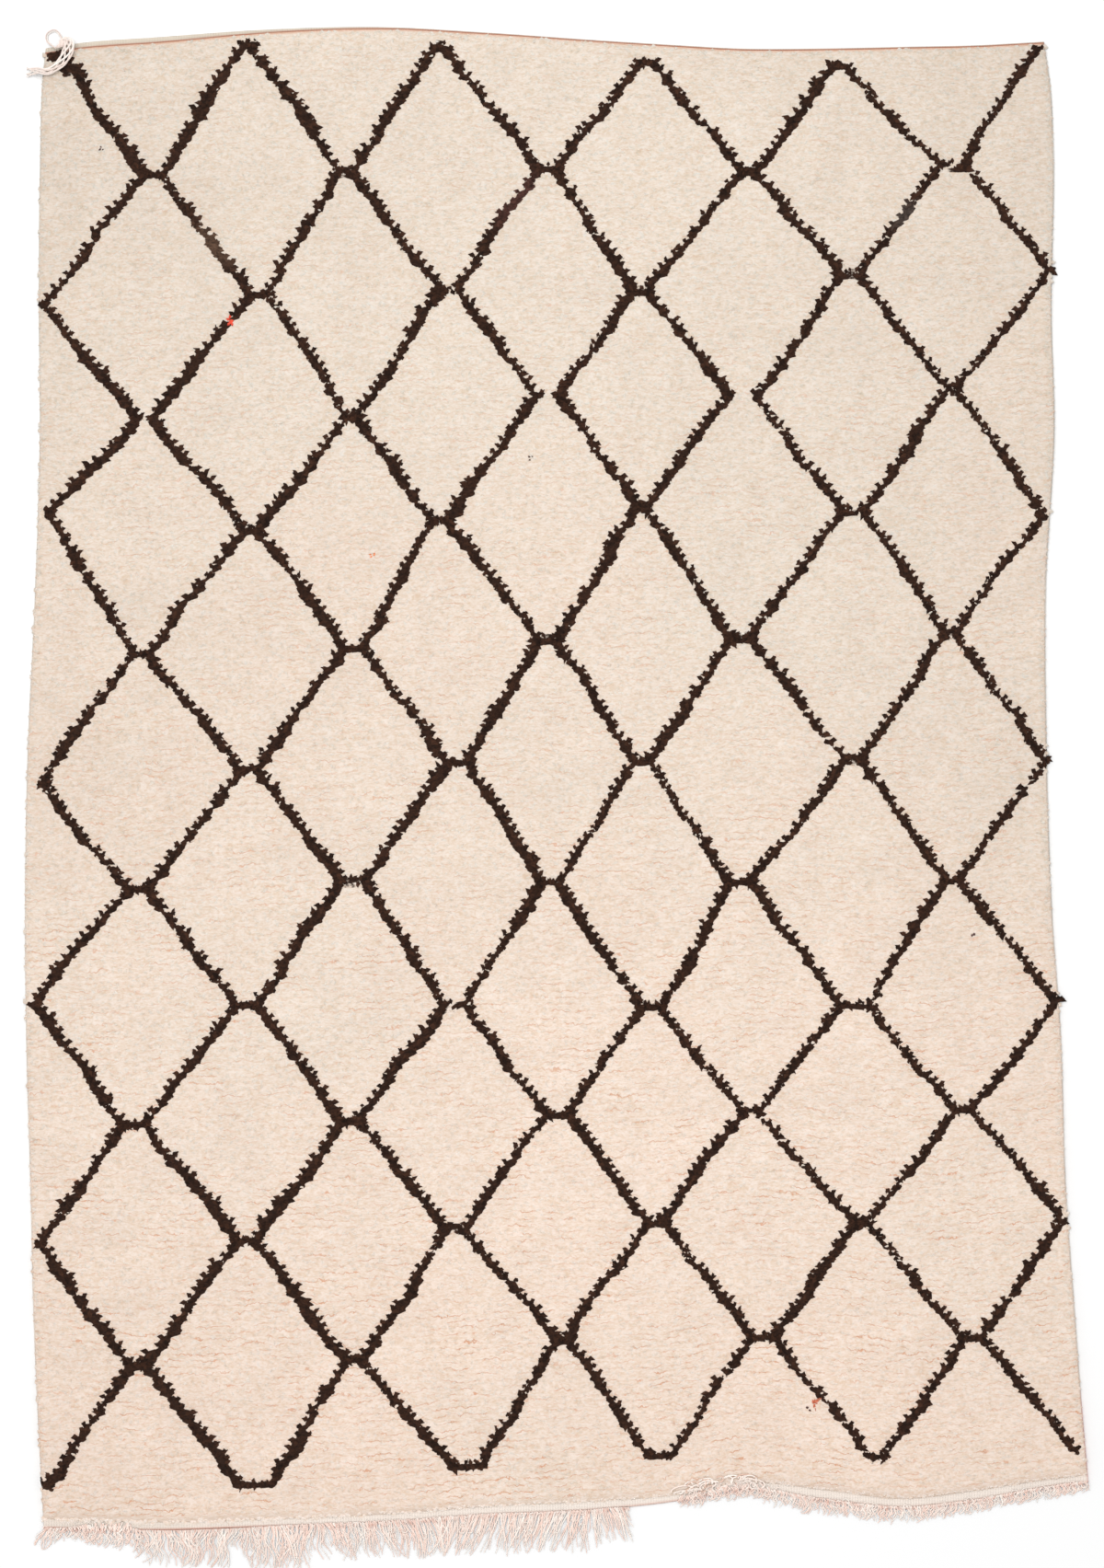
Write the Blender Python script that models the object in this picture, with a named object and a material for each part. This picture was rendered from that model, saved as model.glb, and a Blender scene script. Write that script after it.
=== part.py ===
"""A hand-knotted shag rug lying flat, with the fringe of its lower end and a tail of yarn at one corner.

Metres, +Z up. The rug lies on Z = 0, its width along X and its length along Y.
"""

import math

import bmesh
import bpy
import numpy as np
from mathutils import Vector, noise
from mathutils.bvhtree import BVHTree

# Heights above the floor
GROUND_WEAVE = 0.003
PILE_TOP = 0.019
LUMP_HEIGHT = 0.0060
LUMP_WIDTH = 0.085
ROLL_HEIGHT = 0.0025
ROLL_WIDTH = 0.4

# The pile's rounded rim, and the locks that stand out from it
SHOULDER = 0.016
RIM_SHARE = 0.5
PILE_FRONT = 0.0015
LOCK_REACH = (0.006, 0.013)
LOCK_SWAY = 0.008
LOCK_INSET = 0.0022
LOCK_WIDTH = 0.55
LOCK_DROOP = 0.002
LUMPS_AT_RIM = 0.3

# Cells of the rug's surface between its shoulders
CELLS_ACROSS = 28
CELLS_ALONG = 52

# A gap between solids that lie against each other
SEAM = 0.0003

# The fringe: a narrow strip of warp ends, and the yarns that hang from it
STRIP_DEPTH = 0.007
YARN_PITCH = 0.0148
YARN_ROOT = 0.0058
YARN_TIP = 0.0030
YARN_HEIGHT = 0.0028
YARN_TIP_HEIGHT = 0.0016
YARN_CURL = 0.0034
YARN_CURL_TURN = 3.0
YARN_VARIES = (0.8, 1.08)
YARN_STEPS = 3
SHORTEST_YARN = 0.006

# The corner's tail of yarn: a knot on the floor with strands that cross the pile
KNOT_DEPTH = 0.010
KNOT_HEIGHT = 0.007
STRAND_WIDTH = 0.0032
STRAND_GAP = 0.0012
STRAND_HEIGHT = 0.0034
STRANDS = 4
STRAND_CLEARANCE = 0.0006

# A face counts as facing a way when its normal lies at least this much along it
FACING = 0.8

# Where the origin stands in the places below, which puts it in the middle of the whole part
ORIGIN = Vector((0.00555, -0.00211, 0))

SEED = 11


def table(columns, rows):
    """A table with named columns."""
    return np.array(rows, dtype=[(name, float) for name in columns.split()])


# A row for each section across the rug, from its lower end up
SIDES = table(
    "along left right",
    [
        (-1.440, -0.996, 1.060),
        (-1.330, -1.002, 1.050),
        (-1.215, -1.008, 1.040),
        (-1.000, -1.017, 1.024),
        (-0.780, -1.022, 1.008),
        (-0.460, -1.031, 0.997),
        (-0.240, -1.033, 0.981),
        (0.080, -1.028, 0.970),
        (0.405, -1.013, 0.968),
        (0.730, -1.004, 0.985),
        (0.945, -1.006, 0.979),
        (1.270, -1.003, 0.983),
        (1.400, -0.999, 0.976),
        (1.500, -0.988, 0.960),
    ],
)

# A row for each section along the rug: its two ends, and the width of flat weave that shows at each
ENDS = table(
    "across top heading bottom band",
    [
        (-1.030, 1.458, 0.011, -1.434, 0.019),
        (-0.930, 1.475, 0.012, -1.438, 0.019),
        (-0.774, 1.487, 0.012, -1.440, 0.017),
        (-0.558, 1.502, 0.008, -1.433, 0.016),
        (-0.342, 1.507, 0.005, -1.426, 0.018),
        (-0.126, 1.496, 0.004, -1.410, 0.018),
        (0.090, 1.481, 0.004, -1.399, 0.018),
        (0.252, 1.471, 0.004, -1.381, 0.013),
        (0.360, 1.465, 0.004, -1.360, 0.014),
        (0.540, 1.465, 0.004, -1.381, 0.021),
        (0.684, 1.468, 0.004, -1.395, 0.018),
        (0.828, 1.471, 0.004, -1.381, 0.020),
        (0.980, 1.478, 0.004, -1.354, 0.016),
        (1.060, 1.478, 0.004, -1.344, 0.014),
    ],
)

# A row for each stretch of fringe: the length of its yarns, and how far they lean for each metre of it
YARNS = table(
    "across length lean",
    [
        (-1.010, 0.024, -0.9),
        (-0.965, 0.020, -0.5),
        (-0.930, 0.022, 0.1),
        (-0.790, 0.032, 0.2),
        (-0.740, 0.055, 0.1),
        (-0.640, 0.066, -0.1),
        (-0.550, 0.072, 0.0),
        (-0.440, 0.056, 0.1),
        (-0.300, 0.052, 0.0),
        (-0.130, 0.054, -0.1),
        (0.020, 0.050, 0.0),
        (0.130, 0.036, 0.1),
        (0.160, 0.000, 0.0),
        (0.240, 0.000, 0.0),
        (0.270, 0.014, 0.2),
        (0.380, 0.018, 0.2),
        (0.460, 0.036, 0.1),
        (0.700, 0.040, 0.0),
        (0.900, 0.036, -0.1),
        (1.060, 0.026, 0.2),
    ],
)

# The tail's route from its knot, over the corner's pile and down to the floor: its least height at each
# place, where the pile below doesn't lift it more
TAIL_ROUTE = table(
    "across along height",
    [
        (-0.960, 1.4930, 0.000),
        (-0.950, 1.4915, 0.004),
        (-0.941, 1.4855, 0.011),
        (-0.937, 1.4760, 0.019),
        (-0.936, 1.4640, 0.021),
        (-0.939, 1.4500, 0.0205),
        (-0.947, 1.4360, 0.0200),
        (-0.960, 1.4235, 0.000),
        (-0.977, 1.4150, 0.000),
        (-0.994, 1.4120, 0.018),
        (-1.008, 1.4140, 0.013),
        (-1.019, 1.4175, 0.006),
        (-1.028, 1.4205, 0.000),
        (-1.039, 1.4240, 0.000),
    ],
)

# The ring of yarn beyond the knot, on the floor
RING_RADIUS = 0.011
RING_TURN = math.radians(290)
RING_STEPS = 9


def smooth(at, knots, values):
    """A curve through the knots in cubic steps, each knot's slope being that across its neighbours."""
    slopes = np.gradient(values, knots)
    i = np.clip(np.searchsorted(knots, at) - 1, 0, len(knots) - 2)
    span = knots[i + 1] - knots[i]
    t = (at - knots[i]) / span
    start = (2 * t**3 - 3 * t**2 + 1) * values[i] + (t**3 - 2 * t**2 + t) * span * slopes[i]
    end = (3 * t**2 - 2 * t**3) * values[i + 1] + (t**3 - t**2) * span * slopes[i + 1]
    return start + end


def side(at, which):
    return smooth(at, SIDES["along"], SIDES[which])


def end(at, which):
    return smooth(at, ENDS["across"], ENDS[which])


def material(name, colour, roughness):
    made = bpy.data.materials.new(name)
    made.use_nodes = True
    shader = made.node_tree.nodes["Principled BSDF"]
    shader.inputs["Base Color"].default_value = (*colour, 1.0)
    shader.inputs["Roughness"].default_value = roughness
    shader.inputs["Metallic"].default_value = 0.0
    made.diffuse_color = (*colour, 1.0)
    return made


def finished(bm, name, collection, finish):
    """Turns the faces outwards and makes the object."""
    bmesh.ops.recalc_face_normals(bm, faces=bm.faces[:])
    mesh = bpy.data.meshes.new(name)
    bm.to_mesh(mesh)
    bm.free()
    mesh.shade_smooth()
    mesh.set_sharp_from_angle(angle=math.radians(50))
    made = bpy.data.objects.new(name, mesh)
    made.data.materials.append(finish)
    collection.objects.link(made)
    return made


def grid_places(bm, shape):
    """Each vertex of a fresh grid with its column and row."""
    last_column, last_row = shape[0] - 1, shape[1] - 1
    for vert in bm.verts:
        yield vert, round((vert.co.x + 0.5) * last_column), round((vert.co.y + 0.5) * last_row)


def slab(shape, place):
    """A closed slab: a grid laid out by place(column, row), with a flat face under it on the floor."""
    bm = bmesh.new()
    bmesh.ops.create_grid(bm, x_segments=shape[0] - 1, y_segments=shape[1] - 1, size=0.5)
    for vert, column, row in list(grid_places(bm, shape)):
        vert.co = place(column, row)
    made = bmesh.ops.extrude_face_region(bm, geom=bm.faces[:])["geom"]
    under = [item for item in made if isinstance(item, bmesh.types.BMFace)]
    for vert in {vert for face in under for vert in face.verts}:
        vert.co.z = 0.0
    bmesh.ops.dissolve_faces(bm, faces=under)
    bmesh.ops.recalc_face_normals(bm, faces=bm.faces[:])
    return bm


def drawn_out(bm, face, aside, sections):
    """Carries a face through sections: each a place on the underside, a heading, a width and a height."""
    for centre, heading, width, height in sections:
        middle = face.calc_center_median()
        face = bmesh.ops.extrude_discrete_faces(bm, faces=[face])["faces"][0]
        ahead = Vector((heading.y, -heading.x, 0)).normalized()
        for vert in face.verts:
            to_side = 1 if (vert.co - middle).dot(aside) > 0 else -1
            above = Vector((0, 0, height if vert.co.z > middle.z else 0))
            vert.co = centre + ahead * to_side * width / 2 + above
        aside = ahead


def rug_layout():
    """Places across and along the rug's surface, as shares of its width and of its pile's length."""
    width = SIDES["right"].mean() - SIDES["left"].mean()
    length = ENDS["top"].mean() - ENDS["bottom"].mean()
    shoulder_u, shoulder_v = SHOULDER / width, SHOULDER / length
    inner_u = np.linspace(shoulder_u, 1 - shoulder_u, CELLS_ACROSS + 1)
    inner_v = np.linspace(shoulder_v, 1 - shoulder_v, CELLS_ALONG + 1)
    across = np.concatenate([[0.0], inner_u, [1.0]])
    along = np.concatenate([[0.0], inner_v, [1.0]])
    return across, along


def lumps(x, y):
    """Unevenness of the pile: lumps where locks gather, on slow rolls in the cloth below."""
    lump = noise.noise(Vector((x / LUMP_WIDTH, y / LUMP_WIDTH, SEED)))
    roll = noise.noise(Vector((x / ROLL_WIDTH, y / ROLL_WIDTH, -SEED)))
    return LUMP_HEIGHT * lump + ROLL_HEIGHT * roll


def rug_surface():
    """Places of the rug's upper surface by column and row: flat weave, pile, flat weave."""
    u, v = rug_layout()
    rough = SIDES["left"].mean() + (SIDES["right"].mean() - SIDES["left"].mean()) * u
    top, bottom = end(rough, "top"), end(rough, "bottom")
    pile_top, pile_bottom = top - end(rough, "heading"), bottom + end(rough, "band")
    pile = pile_bottom[:, None] + (pile_top - pile_bottom)[:, None] * v[None, :]
    ends = [bottom, pile_bottom - PILE_FRONT], [pile_top + PILE_FRONT, top]
    along = np.column_stack([*ends[0], pile, *ends[1]])
    left, right = side(along, "left"), side(along, "right")
    across = left + (right - left) * u[:, None]

    inset = np.minimum(across - left, right - across)
    inset = np.minimum(inset, np.minimum(along - pile_bottom[:, None], pile_top[:, None] - along))
    rounded = np.sqrt(1 - (1 - np.clip(inset / SHOULDER, 0, 1)) ** 2)
    height = PILE_TOP * (RIM_SHARE + (1 - RIM_SHARE) * rounded)
    height += np.vectorize(lumps)(across, along) * (LUMPS_AT_RIM + (1 - LUMPS_AT_RIM) * rounded)
    height[:, [0, 1, -2, -1]] = GROUND_WEAVE
    return np.stack([across, along, height], axis=2)


def in_order(faces):
    """The faces by their place, so that each random draw goes to the same one every time."""
    return sorted(faces, key=lambda face: tuple(round(x, 5) for x in face.calc_center_median()))


def add_locks(bm, faces, rng):
    """Draws a lock out of each face: a small quad in its middle, poked into a tip that droops."""
    bmesh.ops.inset_individual(bm, faces=faces, thickness=LOCK_INSET, use_even_offset=True)
    for face in faces:
        centre = face.calc_center_median()
        outward = Vector((face.normal.x, face.normal.y, 0)).normalized()
        sideways = Vector((-outward.y, outward.x, 0))
        for vert in face.verts:
            offset = (vert.co - centre).dot(sideways)
            vert.co -= sideways * offset * (1 - LOCK_WIDTH)
        tip = bmesh.ops.poke(bm, faces=[face])["verts"][0]
        tip.co += outward * rng.uniform(*LOCK_REACH) + sideways * rng.uniform(-LOCK_SWAY, LOCK_SWAY)
        tip.co.z -= rng.uniform(0, LOCK_DROOP)


def lowest(face):
    return min(vert.co.z for vert in face.verts)


def make_rug(collection, finish):
    """The slab with its locks, and the places along its lower edge."""
    places = rug_surface()
    bm = slab(places.shape[:2], lambda column, row: places[column, row])
    rng = np.random.default_rng(SEED)
    # The walls beside the pile are taller than those of the flat weave and longer than a shoulder.
    sides = [
        face
        for face in bm.faces
        if abs(face.normal.x) > FACING and lowest(face) < SEAM and face.calc_area() > SHOULDER * PILE_TOP
    ]
    add_locks(bm, in_order(sides), rng)
    # The pile's front and back stand on the flat weave, and their corners stay plain.
    fronts = [
        face
        for face in bm.faces
        if abs(face.normal.y) > FACING
        and lowest(face) > SEAM
        and face.calc_area() > 2 * SHOULDER * GROUND_WEAVE
        and abs(face.calc_center_median().x) < -SIDES["left"].max() - 2 * SHOULDER
    ]
    add_locks(bm, in_order(fronts), rng)
    return finished(bm, "rug", collection, finish), places[:, 0, :2]


def make_fringe(collection, finish, edge):
    """A strip along the rug's lower edge, and yarns drawn out of its outer wall that lie on the floor."""
    rng = np.random.default_rng(SEED + 1)
    low, high = edge[0, 0] + YARN_ROOT, edge[-1, 0] - YARN_ROOT
    count = int((high - low) / YARN_PITCH)
    centres = np.linspace(low + YARN_ROOT, high - YARN_ROOT, count)
    stops = np.concatenate([[low], (centres[:, None] + [-YARN_ROOT / 2, YARN_ROOT / 2]).ravel(), [high]])
    inner = np.interp(stops, edge[:, 0], edge[:, 1]) - SEAM
    bm = slab(
        (len(stops), 2),
        lambda column, row: (stops[column], inner[column] - STRIP_DEPTH * (1 - row), GROUND_WEAVE),
    )
    roots = [
        face
        for face in bm.faces
        if face.normal.y < -FACING and face.calc_area() < 1.1 * YARN_ROOT * GROUND_WEAVE
    ]
    for face in in_order(roots):
        root = face.calc_center_median()
        length = np.interp(root.x, YARNS["across"], YARNS["length"]) * rng.uniform(*YARN_VARIES)
        lean = np.interp(root.x, YARNS["across"], YARNS["lean"])
        phase = rng.uniform(0, 2 * math.pi)
        if length < SHORTEST_YARN:
            continue
        root.z = 0
        sections = []
        for step in range(1, YARN_STEPS + 1):
            t = step / YARN_STEPS
            sway = YARN_CURL * t * math.sin(phase + YARN_CURL_TURN * t)
            centre = root + Vector((lean * length * t + sway, -length * t, 0))
            width = YARN_ROOT + (YARN_TIP - YARN_ROOT) * t
            height = YARN_HEIGHT + (YARN_TIP_HEIGHT - YARN_HEIGHT) * t
            sections.append((centre, Vector((lean, -1, 0)), width, height))
        drawn_out(bm, face, Vector((-1, 0, 0)), sections)
    return finished(bm, "fringe", collection, finish)


def ring_route(start, heading, aside):
    """Places round an open ring that leaves start along heading and turns aside, with their headings."""
    centre = start + aside * RING_RADIUS
    for step in range(1, RING_STEPS + 1):
        turn = RING_TURN * step / RING_STEPS
        place = centre + RING_RADIUS * (heading * math.sin(turn) - aside * math.cos(turn))
        yield place, heading * math.cos(turn) + aside * math.sin(turn)


def laid_on(surface, place):
    """The place, lifted where the surface below comes up to it within a strand's width."""
    lifted = place.copy()
    for angle in np.linspace(0, 2 * math.pi, 9):
        aside = Vector((math.cos(angle), math.sin(angle), 0)) * STRAND_WIDTH
        hit = surface.ray_cast(Vector((place.x, place.y, 1)) + aside, Vector((0, 0, -1)))[0]
        if hit:
            lifted.z = max(lifted.z, hit.z + STRAND_CLEARANCE)
    return lifted


def make_tail(collection, finish, rug):
    """A knot on the floor with strands side by side that cross the corner, and a ring of yarn behind it."""
    pile = BVHTree.FromPolygons(
        [vert.co for vert in rug.data.vertices], [face.vertices for face in rug.data.polygons]
    )
    pitch = STRAND_WIDTH + STRAND_GAP
    width = STRANDS * pitch
    route = [Vector(tuple(row)) for row in TAIL_ROUTE]
    heading = Vector((route[1].x - route[0].x, route[1].y - route[0].y, 0)).normalized()
    aside = Vector((heading.y, -heading.x, 0))
    lines = np.arange(STRANDS) - (STRANDS - 1) / 2
    stops = (lines[:, None] * pitch + [-STRAND_WIDTH / 2, STRAND_WIDTH / 2]).ravel()
    stops = np.concatenate([[-width / 2], stops, [width / 2]])
    start = Vector((route[0].x, route[0].y, 0))
    bm = slab(
        (len(stops), 2),
        lambda column, row: start
        + aside * stops[column]
        - heading * KNOT_DEPTH * (1 - row)
        + Vector((0, 0, KNOT_HEIGHT)),
    )
    strand_wall = 0.9 * STRAND_WIDTH * KNOT_HEIGHT
    walls = [face for face in bm.faces if face.calc_area() > strand_wall and abs(face.normal.z) < 0.1]
    walls.sort(key=lambda face: face.calc_center_median().dot(aside))
    fronts = [face for face in walls if face.normal.dot(heading) > FACING]
    back = [face for face in walls if face.normal.dot(heading) < -FACING][0]
    for face in fronts:
        line = (face.calc_center_median() - start).dot(aside)
        sections = []
        for here, after in zip(route[1:], [*route[2:], route[-1] * 2 - route[-2]]):
            ahead = Vector((after.x - here.x, after.y - here.y, 0)).normalized()
            place = laid_on(pile, here + Vector((ahead.y, -ahead.x, 0)) * line)
            sections.append((place, ahead, STRAND_WIDTH, STRAND_HEIGHT))
        drawn_out(bm, face, aside, sections)
    root = back.calc_center_median()
    root.z = 0
    ring = [(*place, STRAND_WIDTH, STRAND_HEIGHT) for place in ring_route(root, -heading, aside)]
    drawn_out(bm, back, -aside, ring)
    return finished(bm, "corner_tail", collection, finish)


def main():
    for old in list(bpy.data.objects):
        bpy.data.objects.remove(old, do_unlink=True)
    collection = bpy.data.collections.new("Shag_rug")
    bpy.context.scene.collection.children.link(collection)
    wool = material("ivory_wool", (0.80, 0.69, 0.58), 0.95)
    warp = material("warp_yarn", (0.82, 0.70, 0.65), 0.9)
    rug, edge = make_rug(collection, wool)
    fringe = make_fringe(collection, warp, edge)
    tail = make_tail(collection, warp, rug)
    for made in (rug, fringe, tail):
        made.location = -ORIGIN


main()
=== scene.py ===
"""The looks of a hand-knotted shag rug that lies flat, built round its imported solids.

Metres, +Z up. The rug lies on Z = 0, its width along X and its length along Y. Its cloth is a thin ground
weave. On that stands the bed of the pile, which is the mass of wool between the knots, and out of the bed
come the locks, row by row, ivory in the field and dark along the trellis.
"""

import math

import bpy
import numpy as np
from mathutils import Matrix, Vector, noise


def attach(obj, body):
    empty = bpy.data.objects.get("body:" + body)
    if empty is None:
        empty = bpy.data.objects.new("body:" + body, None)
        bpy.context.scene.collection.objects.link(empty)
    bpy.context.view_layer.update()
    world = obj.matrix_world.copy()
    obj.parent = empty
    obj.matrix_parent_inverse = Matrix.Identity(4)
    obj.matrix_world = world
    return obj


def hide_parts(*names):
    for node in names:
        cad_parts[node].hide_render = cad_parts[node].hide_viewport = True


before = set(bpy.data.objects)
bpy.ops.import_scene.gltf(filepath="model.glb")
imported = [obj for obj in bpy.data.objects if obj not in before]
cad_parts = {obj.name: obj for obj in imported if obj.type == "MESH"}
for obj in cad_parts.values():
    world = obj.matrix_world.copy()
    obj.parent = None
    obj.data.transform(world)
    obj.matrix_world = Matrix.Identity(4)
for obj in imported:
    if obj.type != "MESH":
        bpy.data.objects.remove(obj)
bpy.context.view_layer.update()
TURN = 2 * math.pi

# The part's own sizes, which the solids have too
ORIGIN = (0.00555, -0.00211)
GROUND_WEAVE = 0.003
LUMP_HEIGHT = 0.0060
LUMP_WIDTH = 0.085
ROLL_HEIGHT = 0.0025
ROLL_WIDTH = 0.4
LUMPS_AT_RIM = 0.3
SHOULDER = 0.016
LOWER_SHOULDER = 0.022
SEED = 11

# The photograph's frame on the pile, the camera above it, the floor and the lights
PIXEL = 0.0018
FRAME_HEIGHT = 1704
FRAME_MIDDLE = (0.0, 0.0234)
CAMERA_HEIGHT = 6.0
SENSOR_WIDTH = 36.0
PILE_PLANE = 0.015
FLOOR_RADIUS = 90
FLOOR_DROP = 0.0005
FLOOR_PALE = 0.90
WORLD_LIGHT = 0.80
LAMP_POWER = 260.0
LAMP_SIZE = 4.0
LAMP_PLACE = (-1.4, 2.2, 7.0)

# The pile: rows of knots along the rug, and the locks in each
ROWS = 220
KNOTS = 190
BED_TOP = 0.0140
BED_RIM = 0.45
BED_FOOT = 0.0012
BED_INSET = 0.003
BED_ACROSS = 335
BED_PER_ROW = 2
CREASE = 0.0016
# How steeply and how far wool droops past the rim, how far it clears the weave, and how deep its roots go
DROOP = 0.9
DROOP_REACH = 0.006
WEAVE_GAP = 0.0004
ROOT_DEPTH = 0.003
LEAST_HEIGHT = 0.0006
# The least and most length and width of locks, and the radii of yarns
IVORY_LENGTH = (0.010, 0.0155)
IVORY_WIDTH = (0.0080, 0.0115)
DARK_WIDTH = (0.0100, 0.0145)
WARP_RADIUS = (0.0010, 0.0016)
CURL_RADIUS = 0.0009
LOOP_RADIUS = 0.0015
TAIL_RADIUS = 0.0016
RING_RADIUS = 0.0010
# How far the tips of ivory locks may reach past the sides, and how far they stay from the upper edge
PAST_SIDES = 0.0030
SHORT_OF_TOP = 0.002
# The weave's threads: how far apart they lie, and the bead of outer warps along each side
WEFT_STEP = 0.0026
WARP_STEP = 0.0052
BEAD_WIDTH = 0.02
BEAD_HEIGHT = 0.0022
WOOL_GLOSS = 0.12
SHEEN_ROUGHNESS = 0.6


def table(columns, rows):
    """A table with named columns."""
    return np.array(rows, dtype=[(name, float) for name in columns.split()])


# A row for each section across the rug, from its lower end up
SIDES = table("along left right", [
    (-1.440, -0.996, 1.060),
    (-1.330, -1.002, 1.050),
    (-1.215, -1.008, 1.040),
    (-1.000, -1.017, 1.024),
    (-0.780, -1.022, 1.008),
    (-0.460, -1.031, 0.997),
    (-0.240, -1.033, 0.981),
    (0.080, -1.028, 0.970),
    (0.405, -1.013, 0.968),
    (0.730, -1.004, 0.985),
    (0.945, -1.006, 0.979),
    (1.270, -1.003, 0.983),
    (1.400, -0.999, 0.976),
    (1.500, -0.988, 0.960),
])

# A row for each section along the rug: its two ends, and the width of flat weave that shows at each
ENDS = table("across top heading bottom band", [
    (-1.030, 1.458, 0.011, -1.434, 0.019),
    (-0.930, 1.475, 0.012, -1.438, 0.019),
    (-0.774, 1.487, 0.012, -1.440, 0.017),
    (-0.558, 1.502, 0.008, -1.433, 0.016),
    (-0.342, 1.507, 0.005, -1.426, 0.018),
    (-0.126, 1.496, 0.004, -1.410, 0.018),
    (0.090, 1.481, 0.004, -1.399, 0.018),
    (0.252, 1.471, 0.004, -1.381, 0.013),
    (0.360, 1.465, 0.004, -1.360, 0.014),
    (0.540, 1.465, 0.004, -1.381, 0.021),
    (0.684, 1.468, 0.004, -1.395, 0.018),
    (0.828, 1.471, 0.004, -1.381, 0.020),
    (0.980, 1.478, 0.004, -1.354, 0.016),
    (1.060, 1.478, 0.004, -1.344, 0.014),
])

# A row for each stretch of fringe: the length of its yarns, how far they lean for each metre of it, how
# wide they curl, how many turns they make and how far up the cloth their roots show
YARNS = table("across length lean curl turns inward", [
    (-1.000, 0.038, -1.15, 0.005, 1.2, 0.003),
    (-0.984, 0.038, -1.00, 0.005, 1.2, 0.003),
    (-0.968, 0.030, -0.60, 0.006, 1.2, 0.002),
    (-0.950, 0.018, 0.0, 0.006, 1.2, 0.006),
    (-0.900, 0.026, 0.2, 0.008, 1.4, 0.014),
    (-0.830, 0.032, 0.2, 0.009, 1.4, 0.018),
    (-0.810, 0.055, 0.1, 0.009, 1.3, 0.002),
    (-0.740, 0.062, 0.0, 0.009, 1.3, 0.000),
    (-0.625, 0.066, 0.0, 0.008, 1.2, 0.000),
    (-0.608, 0.045, 0.0, 0.008, 1.2, 0.000),
    (-0.590, 0.078, 0.0, 0.009, 1.2, 0.001),
    (-0.490, 0.078, 0.0, 0.009, 1.0, 0.005),
    (-0.470, 0.060, 0.1, 0.008, 1.0, 0.006),
    (-0.320, 0.062, 0.0, 0.006, 0.9, 0.007),
    (-0.130, 0.070, -0.05, 0.005, 0.7, 0.004),
    (0.060, 0.072, 0.0, 0.005, 0.7, 0.002),
    (0.130, 0.060, 0.1, 0.005, 0.7, 0.002),
    (0.152, 0.000, 0.0, 0.002, 0.5, 0.0),
    (0.242, 0.000, 0.0, 0.002, 0.5, 0.0),
    (0.260, 0.012, 0.2, 0.008, 1.2, 0.024),
    (0.400, 0.014, 0.2, 0.008, 1.2, 0.020),
    (0.430, 0.024, 0.1, 0.006, 1.4, 0.006),
    (0.600, 0.026, 0.0, 0.006, 1.4, 0.003),
    (0.900, 0.020, 0.0, 0.006, 1.4, 0.003),
    (1.040, 0.018, 0.2, 0.006, 1.4, 0.004),
])

# The tail's route from its knot, over the corner's pile and down to the floor, and its strands' spread
TAIL_ROUTE = table("across along height spread", [
    (-0.9640, 1.4740, 0.009, 0.002),
    (-0.9520, 1.4790, 0.013, 0.005),
    (-0.9440, 1.4724, 0.020, 0.008),
    (-0.9441, 1.4598, 0.0215, 0.0095),
    (-0.9522, 1.4418, 0.0205, 0.0090),
    (-0.9648, 1.4274, 0.0195, 0.0070),
    (-0.9846, 1.4157, 0.0185, 0.0055),
    (-1.0053, 1.4184, 0.013, 0.0050),
    (-1.0180, 1.4190, 0.005, 0.0060),
    (-1.0300, 1.4197, 0.001, 0.0080),
])
# The ring of yarn beyond the knot, from the knot round and back
RING_ROUTE = table("across along height", [
    (-0.9684, 1.4660, 0.010),
    (-0.9620, 1.4814, 0.006),
    (-0.9690, 1.4950, 0.001),
    (-0.9774, 1.4985, 0.001),
    (-0.9882, 1.4913, 0.001),
    (-0.9880, 1.4800, 0.002),
    (-0.9792, 1.4700, 0.008),
    (-0.9700, 1.4620, 0.012),
])
KNOT_ENDS = np.array([(-0.9700, 1.4650), (-0.9450, 1.4765)]) - ORIGIN

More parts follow.
